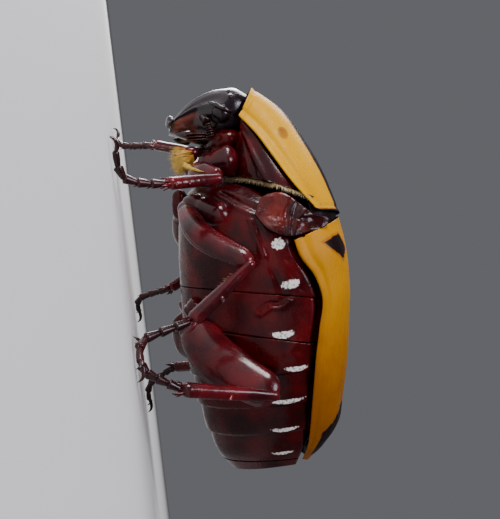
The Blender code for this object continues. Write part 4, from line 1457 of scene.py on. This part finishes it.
def spines(leg):
    half_width, half_thick = SHIN[leg.pair]
    down, edge = leg.down, leg.edge
    made = []
    for t in SHIN_TEETH[leg.pair]:
        root = leg.knee.lerp(leg.ankle, t) + edge * half_width * 0.55
        bend = root + edge * TOOTH * 0.6 + down * TOOTH * 0.2
        tooth = [root, bend, root + edge * TOOTH + down * TOOTH * 0.6]
        made.append(tube(tooth, [0.16, 0.10, 0.025], 14, 14, leg.flat))
    for turn in (-1, 1):
        root = leg.ankle - down * 0.2 + edge * half_width * 0.5 * turn
        bend = root + down * 0.34 + edge * 0.14 * turn
        spur = [root, bend, root + down * 0.62 + edge * 0.18 * turn]
        made.append(tube(spur, [0.11, 0.08, 0.02], 12, 14, leg.flat))
    for k in range(CROWN):
        angle = 2 * math.pi * k / CROWN
        out = edge * math.cos(angle) * half_width + leg.flat * math.sin(angle) * half_thick
        root = leg.ankle - down * 0.05 + out * 0.75
        spine = [root, root + down * 0.12 + out * 0.15, root + down * 0.24 + out * 0.3]
        made.append(tube(spine, [0.035, 0.028, 0.010], 6, 6, leg.flat))
    return made


for leg in legs:
    whole = gather(shin(leg), *spines(leg))
    piece("shin_" + leg.name, whole, LEG, ["tibia_" + leg.name], True)

# %% [markdown]
# ## Feet
#
# Five cup-shaped joints and a pair of hooked claws. Each joint widens to its end, where two short
# spines stand, and the last ones lie on the floor.

# %% Feet
CLAW_LENGTH = 0.65
TOE_RADII, LAST_TOE_RADII = (0.12, 0.18, 0.235), (0.11, 0.15, 0.15)
TOE_UP = Vector((0.1, 0.2, 1))


def toe_segment(near, far, last):
    """One joint of a foot with its two spines, as closed bmeshes."""
    ahead = (far - near).normalized()
    start, end = near - ahead * 0.06, far + ahead * 0.05
    radii = LAST_TOE_RADII if last else TOE_RADII
    made = [tube([start, start.lerp(end, 0.5), end], radii, 22, 22, TOE_UP, 1.0, 0.16)]
    across = ahead.cross(TOE_UP).normalized()
    for turn in () if last else (-1, 1):
        root = end - ahead * 0.05 + across * 0.12 * turn
        tip = root + ahead * 0.20 + across * 0.10 * turn
        made.append(tube([root, root.lerp(tip, 0.5), tip], [0.035, 0.028, 0.008], 6, 6))
    return made


def claws(tip, ahead):
    across = ahead.cross(Vector((0, 0, 1))).normalized()
    made = []
    for turn in (-1, 1):
        hook = [
            tip - ahead * 0.05,
            tip + ahead * CLAW_LENGTH * 0.35 + across * 0.19 * turn + Vector((0, 0, 0.10)),
            tip + ahead * CLAW_LENGTH * 0.75 + across * 0.36 * turn + Vector((0, 0, 0.05)),
            tip + ahead * CLAW_LENGTH + across * 0.42 * turn - Vector((0, 0, 0.17)),
        ]
        made.append(tube(hook, [0.10, 0.10, 0.07, 0.018], 14, 24, (0.2, 0.1, 1)))
    return made


for leg in legs:
    made = []
    for number, (near, far) in enumerate(zip(leg.joints, leg.joints[1:]), start=1):
        made += toe_segment(near, far, number == len(leg.joints) - 1)
    made += claws(leg.joints[-1], (leg.joints[-1] - leg.joints[-2]).normalized())
    piece("foot_" + leg.name, gather(*made), TOES, ["tarsus_" + leg.name], True)

# %% [markdown]
# ## Hair of the legs
#
# Short tan bristles stand along the lower edge of each shin, and the fore thighs carry a soft
# golden fringe on their front edge. Both start on the surface of the limb under them.

# %% Hair of the legs
SHIN_BRISTLES = 46
FRINGE_HAIRS = 520


def shin_bristles(leg):
    half_width = SHIN[leg.pair][0]
    roots = []
    for _ in range(SHIN_BRISTLES):
        t = random.uniform(0.25, 0.95)
        start = leg.knee.lerp(leg.ankle, t) - leg.edge * half_width * 0.80
        start += leg.flat * random.uniform(-0.1, 0.1)
        aim = -leg.edge + leg.down * 0.8 + jitter(0.3)
        roots.append((start, aim, random.uniform(0.10, 0.26), Vector(), (t, 0.1)))
    return hair("bristles_" + leg.name, roots, TAN, 0.012)


def thigh_fringe(leg):
    half_thick = THIGH[leg.pair][1]
    sag = mirrored((0, 0.2, -0.2), leg.side)
    roots = []
    for _ in range(FRINGE_HAIRS):
        t = random.uniform(0.15, 0.80)
        out = mirrored((-0.50, 0.12 + random.uniform(-0.35, 0.35), -0.80), leg.side).normalized()
        aim = out + mirrored((-0.1, 0.2, -0.7), leg.side) + jitter(0.35)
        root = Vector(through(leg.thigh_path, t)) + out * half_thick
        roots.append((root, aim, random.uniform(0.15, 0.42), sag, (t, 0.6)))
    return hair("fluff_" + leg.name, roots, GOLD, 0.018)


for leg in legs:
    shin_bristles(leg)
    if leg.pair == "fore":
        thigh_fringe(leg)

# %% [markdown]
# ## Camera
#
# The camera looks at the animal's left side from just above the floor, and is rolled so that the
# head points up in the picture and the floor is at the left. Its axes are worked out from where the
# head should point.

# %% Camera
CAMERA = Vector((-0.88, -36.0, 0.70)) * MM
TARGET = Vector((-0.88, 0.0, 6.33)) * MM
HEAD_IN_PICTURE = (-0.12, -0.9928)
FOCAL_PIXELS = 700
IMAGE_WIDTH, IMAGE_HEIGHT = 500, 519
SENSOR = 36
NEAREST, FARTHEST = 0.5 * MM, 5.0


def camera():
    forward = (TARGET - CAMERA).normalized()
    head_way = Vector((-1, 0, 0))
    up_way = head_way.cross(forward)
    if up_way.z < 0:
        up_way = -up_way
    fx, fy = HEAD_IN_PICTURE
    right = (head_way * fx - up_way * fy).normalized()
    up = -(head_way * fy + up_way * fx).normalized()
    data = bpy.data.cameras.new("photo_camera")
    data.sensor_width = SENSOR
    data.lens = FOCAL_PIXELS / max(IMAGE_WIDTH, IMAGE_HEIGHT) * SENSOR
    data.clip_start, data.clip_end = NEAREST, FARTHEST
    obj = bpy.data.objects.new("photo_camera", data)
    axes = Matrix((right, up, -forward)).transposed().to_4x4()
    obj.matrix_world = Matrix.Translation(CAMERA) @ axes
    bpy.context.scene.collection.objects.link(obj)
    bpy.context.scene.camera = obj
    distance = (TARGET - CAMERA).length / MM
    print("camera", round(distance, 1), "mm away, lens", round(data.lens, 1), "mm")


camera()

# %% [markdown]
# ## Floor and light
#
# A pale, faintly mottled floor under four broad lamps. The key stands low in front of the head, so
# that each glossy limb shows one long highlight. The sky lamp fills from above, and two lamps
# behind draw a bright edge along the head, the shins and the shield.

# %% Floor and light
FLOOR_HALF = 0.6
FLOOR_TONES = ((0.66, 0.65, 0.63), (0.70, 0.69, 0.67))
MIDDLE = Vector((0, 0, 6))
AIR_COLOUR, AIR_STRENGTH = (0.80, 0.82, 0.90, 1), 0.16
# Name, place and size in millimetres, power in watts, colour
LAMPS = (
    ("key", (-125, -42, 36), 50, 0.160, (1.0, 0.96, 0.97)),
    ("sky", (-25, -85, 95), 60, 0.110, (0.90, 0.88, 1.0)),
    ("back", (-95, 75, 70), 80, 0.12, (0.95, 0.95, 1.0)),
    ("rim", (-105, 112, 34), 60, 0.14, (0.97, 0.95, 1.0)),
)


def lamp(name, place, size, power, colour):
    data = bpy.data.lights.new(name, "AREA")
    data.shape = "DISK"
    data.size = size * MM
    data.energy = power
    data.color = colour
    obj = bpy.data.objects.new(name, data)
    obj.location = Vector(place) * MM
    obj.rotation_euler = (MIDDLE - Vector(place)).to_track_quat("-Z", "Y").to_euler()
    bpy.context.scene.collection.objects.link(obj)


def floor():
    bm = bmesh.new()
    bmesh.ops.create_grid(bm, x_segments=1, y_segments=1, size=FLOOR_HALF)
    mesh = bpy.data.meshes.new("floor")
    bm.to_mesh(mesh)
    bm.free()
    look = Look("pale_floor")
    look.set(Base_Color=look.mix(look.grain(60.0), *FLOOR_TONES), Roughness=0.85)
    obj = bpy.data.objects.new("floor", mesh)
    obj.data.materials.append(look.material)
    bpy.context.scene.collection.objects.link(obj)


def studio_air():
    world = bpy.data.worlds.new("studio")
    world.use_nodes = True
    air = world.node_tree.nodes["Background"]
    air.inputs["Color"].default_value = AIR_COLOUR
    air.inputs["Strength"].default_value = AIR_STRENGTH
    bpy.context.scene.world = world


floor()
studio_air()
for settings in LAMPS:
    lamp(*settings)
